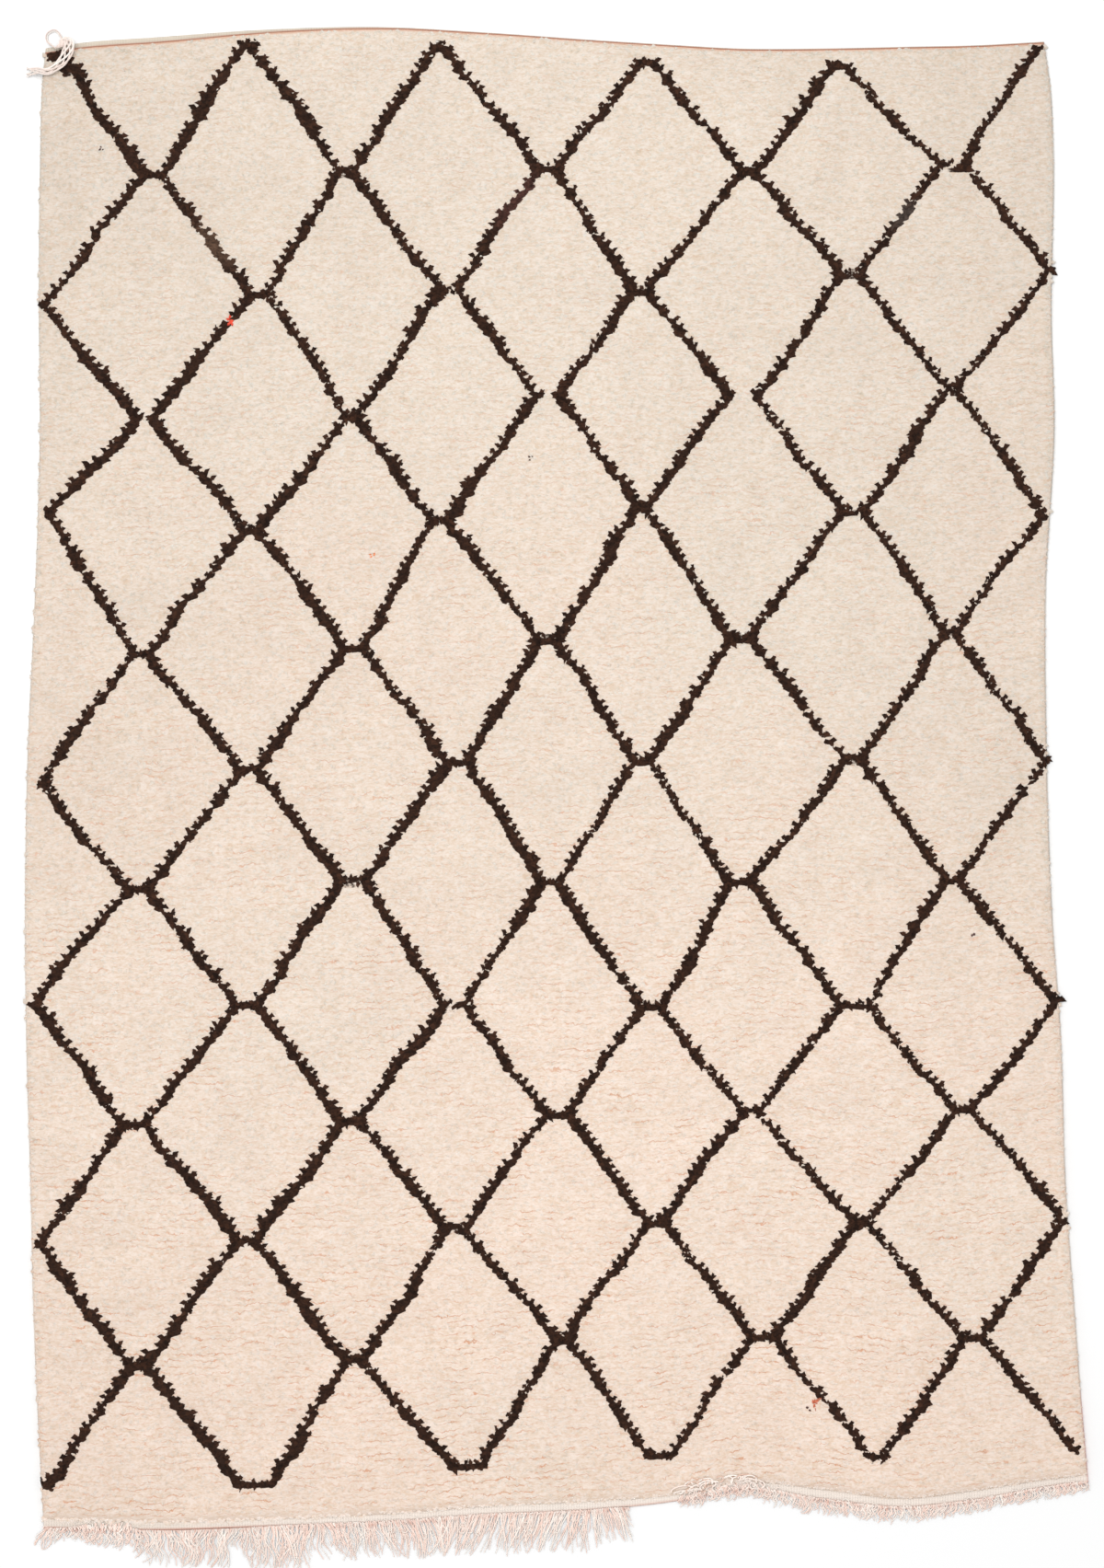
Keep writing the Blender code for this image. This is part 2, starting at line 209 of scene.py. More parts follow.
# The weaver's chart, from the top level down. Each crossing has its place across, its place along and how
# far apart its two lines stay there, in centimetres: below zero where no dark knots join them.
CHART = [
    [(-96.8, 145.5, 2.6), (-59.9, 147.1, 1.4), (-22.1, 146.9, 1.6),
     (18.4, 143.8, 2.3), (56.2, 143.1, 2.5), (95.9, 147.2, 0)],
    [(-78.1, 121.7, 3.5), (-40.5, 122.4, 2.5), (-0.9, 122.8, 3.5),
     (38.5, 122.2, 2.3), (78.3, 123.5, 4.5)],
    [(-99.4, 96.1, 0), (-57.2, 98.1, 3.2), (-20.3, 99.4, 3.4),
     (17.1, 99.0, 2.2), (58.3, 102.4, 3.2), (97.4, 103.1, 0)],
    [(-79.7, 73.8, -2.7), (-39.1, 74.3, 1.6), (-0.9, 78.7, -4.3),
     (37.4, 78.3, -5.4), (78.3, 79.7, 1.2)],
    [(-98.6, 55.4, 0), (-58.9, 52.4, 2.3), (-22.0, 54.0, 3.0),
     (17.5, 56.7, 1.2), (58.9, 55.8, 4.1), (96.3, 55.4, 0)],
    [(-80.6, 27.7, 2.8), (-38.7, 29.2, 3.3), (-0.9, 30.8, 3.6), (36.9, 31.0, 3.5), (77.9, 31.9, 2.2)],
    [(-99.9, 2.7, 0), (-59.4, 5.2, 3.1), (-18.5, 6.5, 3.5),
     (17.5, 7.2, 2.8), (59.0, 7.2, 3.0), (96.7, 6.8, 0)],
    [(-81.0, -18.2, 3.6), (-38.7, -16.6, 4.5), (-0.5, -17.1, 3.2),
     (36.5, -16.7, 4.2), (78.3, -16.2, 2.4)],
    [(-101.2, -40.1, 0), (-59.9, -40.9, 3.8), (-19.0, -40.9, 4.2),
     (19.4, -41.0, 3.8), (59.4, -40.9, 5.4), (98.8, -40.0, 0)],
    [(-81.9, -64.3, 4.7), (-39.6, -63.4, 3.2), (0.9, -62.1, 4.1),
     (39.1, -61.7, 3.1), (80.6, -61.2, 2.8)],
    [(-100.4, -87.3, 0), (-59.8, -86.9, 3.4), (-18.9, -84.6, 3.0),
     (20.3, -83.2, 3.0), (60.3, -83.2, 1.8), (100.1, -82.8, 0)],
    [(-81.0, -111.2, 2.6), (-38.7, -110.3, 3.2), (1.9, -105.8, 1.8),
     (41.4, -105.7, 3.8), (82.4, -105.7, 3.3)],
    [(-98.6, -134.6, 0), (-58.1, -134.5, 6.0), (-16.7, -130.9, 5.2),
     (20.9, -128.9, 4.4), (63.5, -129.4, 2.6), (102.6, -127.8, 0)],
]
# Where the dark knots clump at the lines' ends: place across, place along, and half the width and length
CLUMPS = np.array([
    (-97.2, 144.9, 1.7, 1.4),
    (-95.1, 142.4, 1.4, 1.3),
    (-58.8, 147.2, 1.3, 1.0),
    (96.7, 6.8, 1.0, 1.0),
    (-98.7, -134.6, 1.6, 1.3),
    (-96.4, -132.4, 1.5, 1.3),
]) / 100 - (*ORIGIN, 0, 0)
# The lines' width at the rug's middle and its change across, how far they sway and shift from row to row,
# and how far they go on past their crossings
LINE_WIDTH = 0.0207
LINE_SLOPE = -0.0030
THINNEST = 0.0105
LINE_SWAY = 0.0090
ROW_SHIFT = 0.0045
PAST_CROSSING = 0.004
# How far apart the rows of knots are, and how tall a bar between two lines is
ROW_STEP = 0.0131
BAR_HEIGHT = 0.017
# Each line's noise is read this far from the one before, and locks are numbered up to this many
LINE_KEY = 7.31
LOCK_NUMBERS = 997

# Where the dark wool has faded: place, reach and colour
FADED = [
    (-0.660, 1.085, 0.065, (84, 65, 53)),
    (-0.060, 1.165, 0.080, (72, 46, 42)),
    (0.700, 1.130, 0.045, (76, 68, 64)),
]
# Stray tufts of other wool: place, reach and colour
STRAYS = [
    (-0.628, 0.930, 0.0080, (205, 78, 60)),
    (-0.351, 0.470, 0.0045, (214, 132, 92)),
    (0.516, -1.189, 0.0085, (185, 104, 80)),
    (0.500, -1.200, 0.0045, (70, 38, 34)),
    (-0.882, 1.267, 0.0040, (70, 50, 46)),
    (-0.041, 0.661, 0.0045, (72, 54, 50)),
    (0.821, -0.270, 0.0045, (90, 66, 66)),
]


def linear(red, green, blue):
    """A colour of 0 to 255 as the render's linear light."""
    share = np.array([red, green, blue]) / 255
    return np.where(share <= 0.04045, share / 12.92, ((share + 0.055) / 1.055) ** 2.4)


IVORY = linear(224, 218, 207)
PEACH = linear(232, 219, 207)
# Warm salmon painted as shade: in the creases between rows, at the locks' roots and over the bed beneath
# them. Some loops of the fringe take it as their own tint.
WARM_SHADE_AND_LOOP_TINT = linear(214, 162, 132)
DARK = linear(47, 29, 20)
# Painted shade and highlight on the dark wool's strands: the least and most that its colour is multiplied by
DARK_SHADE_AND_HIGHLIGHT = ((0.45, 0.45, 0.45), (1.7, 1.6, 1.5))
HEADING = linear(211, 200, 184)
BAND = linear(254, 243, 235)
HEM = linear(206, 148, 130)
# A painted salmon shadow along the pile's upper foot, on the heading
PILE_FOOT_SHADOW = linear(172, 106, 82)
WARP = linear(255, 247, 238)
PINK_WARP = linear(252, 217, 202)
SELVEDGE = linear(226, 172, 164)
TAIL_PALE = linear(246, 238, 230)
TAIL_ROSY = linear(228, 206, 196)


# ---- places on the cloth


def smooth(at, knots, values):
    """A curve through the knots in cubic steps, each knot's slope being that across its neighbours."""
    slopes = np.gradient(values, knots)
    i = np.clip(np.searchsorted(knots, at) - 1, 0, len(knots) - 2)
    span = knots[i + 1] - knots[i]
    t = (at - knots[i]) / span
    start = (2 * t**3 - 3 * t**2 + 1) * values[i] + (t**3 - 2 * t**2 + t) * span * slopes[i]
    end = (3 * t**2 - 2 * t**3) * values[i + 1] + (t**3 - t**2) * span * slopes[i + 1]
    return start + end


def stacked(*parts):
    """Arrays of one shape as the columns of one array."""
    return np.stack(parts, axis=-1)


def joined(*parts):
    return np.concatenate(parts)


def unit(value):
    return np.clip(value, 0, 1)


def arch(share):
    """The height of a quarter circle at a share of the way in from its foot."""
    return np.sqrt(1 - (1 - unit(share)) ** 2)


def side(y, which):
    return smooth(y + ORIGIN[1], SIDES["along"], SIDES[which]) - ORIGIN[0]


def strip(x, which):
    return smooth(x + ORIGIN[0], ENDS["across"], ENDS[which])


def end(x, which):
    return strip(x, which) - ORIGIN[1]


def pile_low(x):
    return end(x, "bottom") + strip(x, "band")


def pile_high(x):
    return end(x, "top") - strip(x, "heading")


def laid(u, v, low, high):
    """The place at the shares u across and v along the cloth between two edges, found in a few rounds since
    the width changes along the rug and the edges change across it."""
    x = u * 2 - 1.0
    for _ in range(4):
        y = low(x) + (high(x) - low(x)) * v
        left, right = side(y, "left"), side(y, "right")
        x = left + (right - left) * u
    return x, y


def on_pile(u, v):
    return laid(u, v, pile_low, pile_high)


def between(grid, i, j, s, t):
    """A grid's value at the shares s and t of the way from its point i, j to the next one. It repeats."""
    rows, columns = grid.shape
    low = grid[i % rows, j % columns] * (1 - s) + grid[(i + 1) % rows, j % columns] * s
    high = grid[i % rows, (j + 1) % columns] * (1 - s) + grid[(i + 1) % rows, (j + 1) % columns] * s
    return low * (1 - t) + high * t


def drift(x, y, size, seed):
    """Smooth noise from -1 to 1: random values at the corners of cells of that size, eased between."""
    across, along = np.asarray(x) / size + 128.0, np.asarray(y) / size + 128.0
    i, j = np.floor(across).astype(int), np.floor(along).astype(int)
    s, t = across - i, along - j
    s, t = s * s * (3 - 2 * s), t * t * (3 - 2 * t)
    return between(np.random.default_rng(seed).uniform(-1, 1, (256, 256)), i, j, s, t)


def lump_lattice(step=0.02):
    """The solid's lumps and rolls at the points of a lattice."""
    across = np.arange(-1.1, 1.12, step)
    along = np.arange(-1.6, 1.62, step)
    rows = [
        [
            LUMP_HEIGHT * noise.noise(Vector((x / LUMP_WIDTH, y / LUMP_WIDTH, SEED)))
            + ROLL_HEIGHT * noise.noise(Vector((x / ROLL_WIDTH, y / ROLL_WIDTH, -SEED)))
            for y in along
        ]
        for x in across
    ]
    return across[0], along[0], step, np.array(rows)


LUMPS = lump_lattice()


def row_middle(x, row):
    """The height along the rug of the middle of the row that a place lies in."""
    low, high = pile_low(x), pile_high(x)
    return low + (high - low) * (np.floor(row) + 0.5) / ROWS


def row_at(x, y):
    low, high = pile_low(x), pile_high(x)
    return (y - low) / (high - low) * ROWS


def lumps(x, y):
    """The solid's own unevenness, read between the lattice's points."""
    low_x, low_y, step, heights = LUMPS
    across, along = (x + ORIGIN[0] - low_x) / step, (y + ORIGIN[1] - low_y) / step
    i = np.clip(across.astype(int), 0, heights.shape[0] - 2)
    j = np.clip(along.astype(int), 0, heights.shape[1] - 2)
    return between(heights, i, j, across - i, along - j)


def from_sides(x, y):
    return np.minimum(x - side(y, "left"), side(y, "right") - x)


def inset(x, y):
    """How far a place lies inside the pile's edge."""
    return np.minimum(from_sides(x, y), np.minimum(y - pile_low(x), pile_high(x) - y))


def bed_height(x, y):
    """The bed's height: a quarter circle up from the rim, with the solid's lumps. Its lower end thins out
    onto the flat weave."""
    rounded = arch(inset(x, y) / SHOULDER)
    height = BED_TOP * (BED_RIM + (1 - BED_RIM) * rounded)
    height = height + lumps(x, y) * (LUMPS_AT_RIM + (1 - LUMPS_AT_RIM) * rounded)
    thinned = arch((y - pile_low(x)) / LOWER_SHOULDER)
    return GROUND_WEAVE + BED_FOOT + (height - GROUND_WEAVE - BED_FOOT) * thinned


def resting(x, y):
    """The height that wool comes to rest at: on the bed, drooping where it reaches past the rim, and on the
    flat weave below the pile's lower end."""
    drooping = bed_height(x, y) - DROOP * np.clip(-inset(x, y), 0, DROOP_REACH)
    return np.where(y < pile_low(x), np.maximum(drooping, GROUND_WEAVE + WEAVE_GAP), drooping)


# ---- the trellis


def chart_lines():
    """Each line of the trellis from one level's crossing down to the next one's, with the way that it falls,
    and each crossing where a bar of dark knots joins its two lines."""
    levels = [np.array(level) / 100 - (*ORIGIN, 0) for level in CHART]
    lines, bars = [], []
    for upper, lower in zip(levels, levels[1:]):
        wide = len(upper) > len(lower)
        for j in range(5):
            # A line that falls to the right comes in at a crossing's left and leaves at its right.
            falls = (upper[j], lower[j]) if wide else (upper[j], lower[j + 1])
            rises = (upper[j + 1], lower[j]) if wide else (upper[j], lower[j])
            for (top, low), way in ((falls, 1), (rises, -1)):
                reach_top, reach_low = way * abs(top[2]) / 2, -way * abs(low[2]) / 2
                lines.append((top[0] + reach_top, top[1], low[0] + reach_low, low[1], way))
    for level in levels:
        bars += [tuple(crossing) for crossing in level if crossing[2] > 0]
    return np.array(lines), np.array(bars)


LINES, BARS = chart_lines()
# How each line strays in each row from its course, and from its width
STRAYING = np.random.default_rng(22).uniform(-1, 1, (len(LINES), ROWS + 1, 2))


def line_at(index, y, row):
    """Where line number index crosses the height y, and half its width there."""
    x0, y0, x1, y1, _ = LINES[index].T
    t = unit((y0 - y) / (y0 - y1))
    key = index * LINE_KEY
    shift, swell = STRAYING[index, np.clip(row, 0, ROWS).astype(int)].T
    sway = LINE_SWAY * drift(y, key, 0.075, 21) * 4 * t * (1 - t)
    centre = x0 + (x1 - x0) * t + sway + ROW_SHIFT * shift
    width = LINE_WIDTH + LINE_SLOPE * centre
    clump = unit(drift(y, key, 0.034, 24) - 0.35)
    uneven = 1 + 0.36 * drift(y, key, 0.055, 23) + 0.2 * swell + 0.6 * clump
    return centre, np.maximum(width * uneven, THINNEST) / 2


def from_trellis(x, row):
    """How far a place of a row lies from the row's dark knots, below zero among them."""
    nearest = np.full(np.shape(x), 1.0)
    y, row = row_middle(x, row), np.floor(row)
    for i in range(len(LINES)):
        here = (y <= LINES[i, 1] + PAST_CROSSING) & (y >= LINES[i, 3] - PAST_CROSSING)
        centre, half = line_at(np.full(here.sum(), i), y[here], row[here])
        nearest[here] = np.minimum(nearest[here], np.abs(x[here] - centre) - half)
    for x0, y0, apart in BARS:
        tall = BAR_HEIGHT * (1 + 0.25 * drift(x, y0, 0.012, 26)) / 2
        out = np.maximum(np.abs(x - x0) - apart / 2, np.abs(y - y0 - 0.004 * drift(x, y0, 0.02, 25)) - tall)
        nearest = np.minimum(nearest, out)
    for x0, y0, wide, tall in CLUMPS:
        out = (np.hypot((x - x0) / wide, (y - y0) / tall) - 1) * min(wide, tall)
        nearest = np.minimum(nearest, out)
    return nearest


# ---- colours of the wool


def mixed(low, high, share):
    return low + (high - low) * np.asarray(share)[..., None]


def wool_colour(x, y):
    """The ivory of a place: peachier towards the lower end and in slow clouds, times a painted light that is
    darker towards the sides, lighter to the right and towards the lower end, and uneven.
    """
    share = 0.35 - 0.45 * y + 0.22 * drift(x, y, 0.45, 31) + 0.12 * drift(x, y, 0.12, 32)
    colour = mixed(IVORY, PEACH, unit(share))
    # Painted light and shade: darker towards the sides, lighter to the right and towards the lower end where
    # the lamp gives less, lighter across the lower part and darker right of the middle. The drift terms are
    # uneven tone.
    light = 1.0 - (0.055 + 0.02 * y) * x**2 + 0.017 * x - 0.022 * y
    light = light + 0.04 * np.exp(-(((y + 0.7) / 0.5) ** 2))
    light += 0.02 * drift(x, y, 0.30, 33) + 0.025 * drift(x, y, 0.05, 34)
    light -= 0.02 * np.exp(-(((x - 0.8) / 0.5) ** 2) - (y / 0.5) ** 2)
    return colour * light[..., None]


def from_spot(x, y, x0, y0):
    return np.hypot(x + ORIGIN[0] - x0, y + ORIGIN[1] - y0)


def dark_colour(x, y, uneven):
    """Near-black wool that has faded to brown in places, by a share that is uneven from 0 to 1."""
    colour = np.tile(DARK, (*np.shape(x), 1)) * (0.5 + 1.0 * uneven[..., None])
    for x0, y0, reach, faded in FADED:
        share = unit(1.6 - 1.6 * (from_spot(x, y, x0, y0) / reach)) * (0.5 + 0.5 * uneven)
        colour = colour + (linear(*faded) - colour) * share[..., None]
    return colour


def with_strays(colour, x, y):
    """Colours, with each stray tuft's own within its reach."""
    for x0, y0, reach, stray in STRAYS:
        colour[from_spot(x, y, x0, y0) < reach] = linear(*stray)
    return colour


# ---- meshes


ATTRIBUTES = {1: ("FLOAT", "value"), 3: ("FLOAT_VECTOR", "vector"), 4: ("FLOAT_COLOR", "color")}


def built(name, points, corners, sizes, finish, bake, normals=None, **attributes):
    """A smooth mesh object from whole arrays: its points, the corners of its faces and each face's size."""
    mesh = bpy.data.meshes.new(name)
    mesh.vertices.add(len(points))
    mesh.vertices.foreach_set("co", points.astype(np.float32).ravel())
    mesh.loops.add(len(corners))
    mesh.loops.foreach_set("vertex_index", corners.astype(np.int32))
    mesh.polygons.add(len(sizes))
    mesh.polygons.foreach_set("loop_start", joined([0], np.cumsum(sizes)[:-1]).astype(np.int32))
    mesh.update(calc_edges=True)
    for key, values in attributes.items():
        kind, field = ATTRIBUTES[values.size // len(points)]
        mesh.attributes.new(key, kind, "POINT").data.foreach_set(field, values.astype(np.float32).ravel())
    mesh.uv_layers.new(name="OFBake").uv.foreach_set("vector", bake.astype(np.float32).ravel())
    mesh.shade_smooth()
    if normals is not None:
        mesh.normals_split_custom_set_from_vertices(normals.astype(np.float32))
    mesh.materials.append(finish)
    made = bpy.data.objects.new(name, mesh)
    bpy.context.scene.collection.objects.link(made)
    return made


def grid_corners(columns, rows):
    """The four corners of each cell of a grid whose points run up each column in turn."""
    i, j = np.meshgrid(np.arange(columns - 1), np.arange(rows - 1), indexing="ij")
    first = i * rows + j
    return stacked(first, first + rows, first + rows + 1, first + 1).reshape(-1, 4)


def rim_of(columns, rows):
    """The points round a grid's edge, counter-clockwise from above."""
    index = np.arange(columns * rows).reshape(columns, rows)
    return joined(index[:-1, 0], index[-1, :-1], index[:0:-1, -1], index[0, :0:-1])


def boxed(points):
    """Places across and along as shares of their box."""
    low, high = points[:, :2].min(0), points[:, :2].max(0)
    return (points[:, :2] - low) / (high - low)


def units(vectors):
    """Vectors of length 1."""
    return vectors / np.maximum(np.linalg.norm(vectors, axis=-1, keepdims=True), 1e-9)


def rgba(colour):
    return np.concatenate([colour, np.ones((*colour.shape[:-1], 1))], axis=-1)


# A lock's seven points: three round its root, three round its bend, and its tip
LOCK_QUADS = np.array([[k, (k + 1) % 3, 3 + (k + 1) % 3, 3 + k] for k in range(3)])
LOCK_TIPS = np.array([[3 + k, 3 + (k + 1) % 3, 6] for k in range(3)])
LOCK_CAP = np.array([[2, 1, 0]])
LOCK_ALONG = np.array([0, 0, 0, 0.55, 0.55, 0.55, 1.0])
LOCK_ROUND = [0, 1, 2, 0, 1, 2, 1.5]
LOCK_SIZES = [4, 4, 4, 3, 3, 3, 3]


def lock_cells(count):
    """The locks' places in the square of the bake: a cell each, its three sides next to each other."""
    flank, tip = ((0, 0.1), (1, 0.1), (1, 0.6), (0, 0.6)), ((0, 0.6), (1, 0.6), (0.5, 1.0))
    corners = [((k + u) / 3, v) for face in (flank, tip) for k in range(3) for u, v in face]
    corners += [(0.1, 0.0), (0.9, 0.0), (0.5, 0.06)]
    across = math.ceil(math.sqrt(count))
    cell = stacked(np.arange(count) % across, np.arange(count) // across)
    return ((cell[:, None, :] + 0.06 + 0.88 * np.array(corners)) / across).reshape(-1, 2)


def make_locks(name, x, y, heading, bend, length, width, lift, colour, root, finish, blunt, ridge, upright):
    """Locks of wool. Each rises from the bed at (x, y), bends over along its heading and lies on its
    neighbours: a three-sided spike, widest at the share blunt of its length, whose middle stands up by the
    share ridge of its width. Wool lets light through, so the normals lean from the spike's own towards
    straight up, by the share upright."""
    ahead = stacked(np.cos(heading), np.sin(heading))
    after = stacked(np.cos(heading + bend), np.sin(heading + bend))
    place = stacked(x, y)
    middle = place + ahead * (blunt * length)[:, None]
    tip = middle + after * ((1 - blunt) * length)[:, None]
    heights = [resting(*p.T) for p in (place, middle, tip)]
    points = np.zeros((len(x), 7, 3))
    normals = np.zeros((len(x), 7, 3))
    aside = stacked(-ahead[:, 1], ahead[:, 0])
    for k, angle in enumerate(np.radians([90, 210, 330])):
        normals[:, k, :2] = normals[:, 3 + k, :2] = aside * math.cos(angle)
        normals[:, 3 + k, 2] = math.sin(angle)
        out = (width * math.cos(angle) / 2)[:, None]
        back = (width * math.sin(angle) / 2)[:, None]
        points[:, k, :2] = place + aside * out * 0.8 - ahead * back * 0.8
        points[:, k, 2] = heights[0] - ROOT_DEPTH
        points[:, 3 + k, :2] = middle + aside * out
        points[:, 3 + k, 2] = heights[1] + lift + width * math.sin(angle) * ridge
    points[:, 6, :2] = tip
    points[:, :6, 2] = np.maximum(points[:, :6, 2], LEAST_HEIGHT)
    normals[:, 6, :2] = after * 0.5
    normals = units(normals * (1 - upright) + np.array([0, 0, upright]))
    points[:, 6, 2] = np.maximum(heights[2] + lift * 0.55, GROUND_WEAVE)
    count = len(x)
    shape = joined(LOCK_QUADS.ravel(), LOCK_TIPS.ravel(), LOCK_CAP.ravel())
    corners = (np.arange(count)[:, None] * 7 + shape).ravel()
    along = np.tile(LOCK_ALONG, (count, 1))
    # Each lock runs from its root colour to its own. The root colour is painted shade, where the lock's root
    # lies under its neighbours.
    shade = mixed(root[:, None, :], colour[:, None, :], unit(along * 1.7))
    number = np.tile(np.arange(count)[:, None] % LOCK_NUMBERS, (1, 7))
    strand = stacked(np.tile(LOCK_ROUND, (count, 1)), along, number)
    points = points.reshape(-1, 3)
    return built(
        name, points, corners, np.tile(LOCK_SIZES, count), finish, lock_cells(count), normals.reshape(-1, 3),
        yarn=rgba(shade).reshape(-1, 4), strand=strand.reshape(-1, 3), row=row_at(*points[:, :2].T),
    )


# ---- shaders


class Wire:
    """A socket in a material. Sums with it become Math nodes."""

    def __init__(self, shader, socket):
        self.shader = shader
        self.socket = socket

    def math(self, operation, *values):
        return self.shader.node("Math", {"operation": operation}, dict(enumerate(values)))

    def __add__(self, other):
        return self.math("ADD", self, other)

    def __sub__(self, other):
        return self.math("SUBTRACT", self, other)

    def __rsub__(self, other):
        return self.math("SUBTRACT", other, self)

    def __mul__(self, other):
        return self.math("MULTIPLY", self, other)

    __radd__ = __add__
    __rmul__ = __mul__

    def step(self, low, high):
        """0 below low and 1 above high, eased between."""
        return self.shader.node(
            "MapRange",
            {"interpolation_type": "SMOOTHSTEP"},
            {"Value": self, "From Min": low, "From Max": high, "To Min": 0.0, "To Max": 1.0},
        )


class Shader:
    """A material with one Principled shader, and the nodes that feed it."""

    def __init__(self, name, roughness, sheen=0.0):
        self.material = bpy.data.materials.new(name)
        self.material.use_nodes = True
        self.tree = self.material.node_tree
        self.principled = self.tree.nodes["Principled BSDF"]
        self.principled.inputs["Roughness"].default_value = roughness
        self.principled.inputs["Specular IOR Level"].default_value = WOOL_GLOSS
        self.principled.inputs["Sheen Weight"].default_value = sheen
        self.principled.inputs["Sheen Roughness"].default_value = SHEEN_ROUGHNESS

    def node(self, kind, settings=(), inputs=(), output=0):
        """A new node: its settings first, then the values and links of its sockets."""
        made = self.tree.nodes.new("ShaderNode" + kind)
        for key, value in dict(settings).items():
            setattr(made, key, value)
        for key, value in dict(inputs).items():
            if isinstance(value, Wire):
                self.tree.links.new(value.socket, made.inputs[key])
            else:
                made.inputs[key].default_value = value
        return Wire(self, made.outputs[output])

    def attribute(self, name, output="Fac"):
        return self.node("Attribute", {"attribute_name": name}, output=output)

    def yarn(self):
        return self.attribute("yarn", "Color")

    def times(self, vector, by):
        """A vector or colour, each part of it times its own number."""
        return self.node("VectorMath", {"operation": "MULTIPLY"}, {0: vector, 1: by})

    def place(self, scale=(1, 1, 1)):
        """Object coordinates, stretched."""
        return self.times(self.node("TexCoord", output="Object"), scale)

    def part(self, axis, vector):
        return self.node("SeparateXYZ", {}, {0: vector}, output=axis)

    def noise(self, vector, scale, detail=2.0, roughness=0.5):
        values = {"Vector": vector, "Scale": scale, "Detail": detail, "Roughness": roughness}
        return self.node("TexNoise", {}, values)

    def wisps(self):
        """Strands of wool that lie along the rows and wave: fine ones, and the hanks that they gather in."""
        spot = self.place((0.34, 1.0, 0.6))
        wave = self.node("CombineXYZ", {}, {"Y": self.noise(spot, 34.0) * 0.035})
        bent = self.node("VectorMath", {"operation": "ADD"}, {0: spot, 1: wave})
        fine, hanks = self.noise(bent, 430.0, 3.0, 0.6), self.noise(bent, 150.0, 3.0, 0.65)
        return fine * 0.55 + hanks * 0.45

    def crease(self):
        """1 along the waving gaps between rows where they have parted, and 0 elsewhere."""
        spot = self.place()
        wander = (self.noise(spot, 24.0, 3.0, 0.65) - 0.5) * 2.2 + (self.noise(spot, 120.0) - 0.5) * 0.8
        counted = self.attribute("row")
        row = counted + wander
        fraction = row.math("FRACT", row)
        gap = fraction.math("MINIMUM", fraction, 1 - fraction)
        cells = {"X": self.part("X", spot) * 26.0, "Y": row.math("ROUND", row) * 5.7}
        lane = self.node("CombineXYZ", {}, cells)
        gathered = self.noise(spot, 8.0).step(0.36, 0.62) * 0.75 + 0.5
        parted = self.noise(lane, 1.0, 3.0, 0.6).step(0.42, 0.60) * gathered * counted.step(0.6, 1.2)
        return (1 - gap.step(0.0, 0.12)) * parted

    def salmon(self, wool, crease):
        """Wool with painted warm shade in its creases: deeper towards the rug's lower end."""
        return self.mix(crease * (0.60 - self.part("Y", self.place()) * 0.24), wool, WARM_SHADE_AND_LOOP_TINT)

    def strand_shade_and_highlight(self, colour, share, low=(0.885, 0.80, 0.70), high=(1.05, 1.065, 1.09)):
        """A colour with painted shade, duller and warmer, where the share is low, between the strands, and
        painted highlight where it is high, on them.
        """
        return self.times(colour, self.mix(share, low, high))

    def mix(self, factor, low, high):
        """Two colours mixed."""
        values = {"Factor": factor, 6: colour4(low), 7: colour4(high)}
        return self.node("Mix", {"data_type": "RGBA"}, values, output=2)

    def tinted(self, colour, light):
        """A colour times a value, by a Vector Math node."""
        return self.node("VectorMath", {"operation": "SCALE"}, {0: colour, "Scale": light})

    def feed(self, colour, height, distance, strength):
        bump = self.node("Bump", {}, {"Height": height, "Distance": distance, "Strength": strength})
        self.tree.links.new(colour.socket, self.principled.inputs["Base Color"])
        self.tree.links.new(bump.socket, self.principled.inputs["Normal"])
        return self.material


def colour4(colour):
    return colour if isinstance(colour, Wire) else (*[float(c) for c in colour], 1.0)


def lock_wool():
    """Ivory wool of the locks: the yarn's colour with painted shade and highlight streaked along its fibres,
    and painted warm shade in the rows' creases.
    """
    s = Shader("lock_wool", 0.92, 0.2)
    strand = s.attribute("strand", "Vector")
    fibres = s.noise(s.times(strand, (2.6, 1.3, 7.7)), 1.6, 3.0, 0.6)
    wisps = s.wisps()
    share = (wisps * 0.85 + fibres * 0.15).step(0.34, 0.62)
    crease = s.crease()
    wool = s.salmon(s.strand_shade_and_highlight(s.yarn(), share), crease)
    return s.feed(wool, wisps - crease * 0.4, 0.0006, 0.5)


def dark_wool():
    """Dark wool of the locks, with painted shade and highlight streaked along its fibres."""
    s = Shader("dark_wool", 0.92, 0.06)
    wisps = s.wisps()
    colour = s.strand_shade_and_highlight(s.yarn(), wisps.step(0.30, 0.64), *DARK_SHADE_AND_HIGHLIGHT)
    return s.feed(colour, wisps, 0.0006, 0.5)


def bed_wool():
    """The mass of wool between the locks: tufts, fibres with painted shade and highlight, painted salmon
    shade in the creases where rows part, dark knots.
    """
    s = Shader("bed_wool", 0.94, 0.1)
    tufts = s.noise(s.place((0.55, 1.0, 1.0)), 300.0, 2.0, 0.55)
    wisps = s.wisps()
    crease = s.crease()
    share = (wisps * 0.75 + tufts * 0.25).step(0.35, 0.62)
    wool = s.salmon(s.strand_shade_and_highlight(s.yarn(), share), crease)
    ragged = s.attribute("line") + (tufts - 0.5) * 0.004
    dark = 1 - ragged.step(-0.0028, -0.0006)
    knots = s.strand_shade_and_highlight(s.attribute("knot", "Color"), share, *DARK_SHADE_AND_HIGHLIGHT)
    colour = s.mix(dark, wool, knots)
    return s.feed(colour, tufts * 0.5 + wisps * 0.5 - crease * 0.6, 0.0012, 0.6)


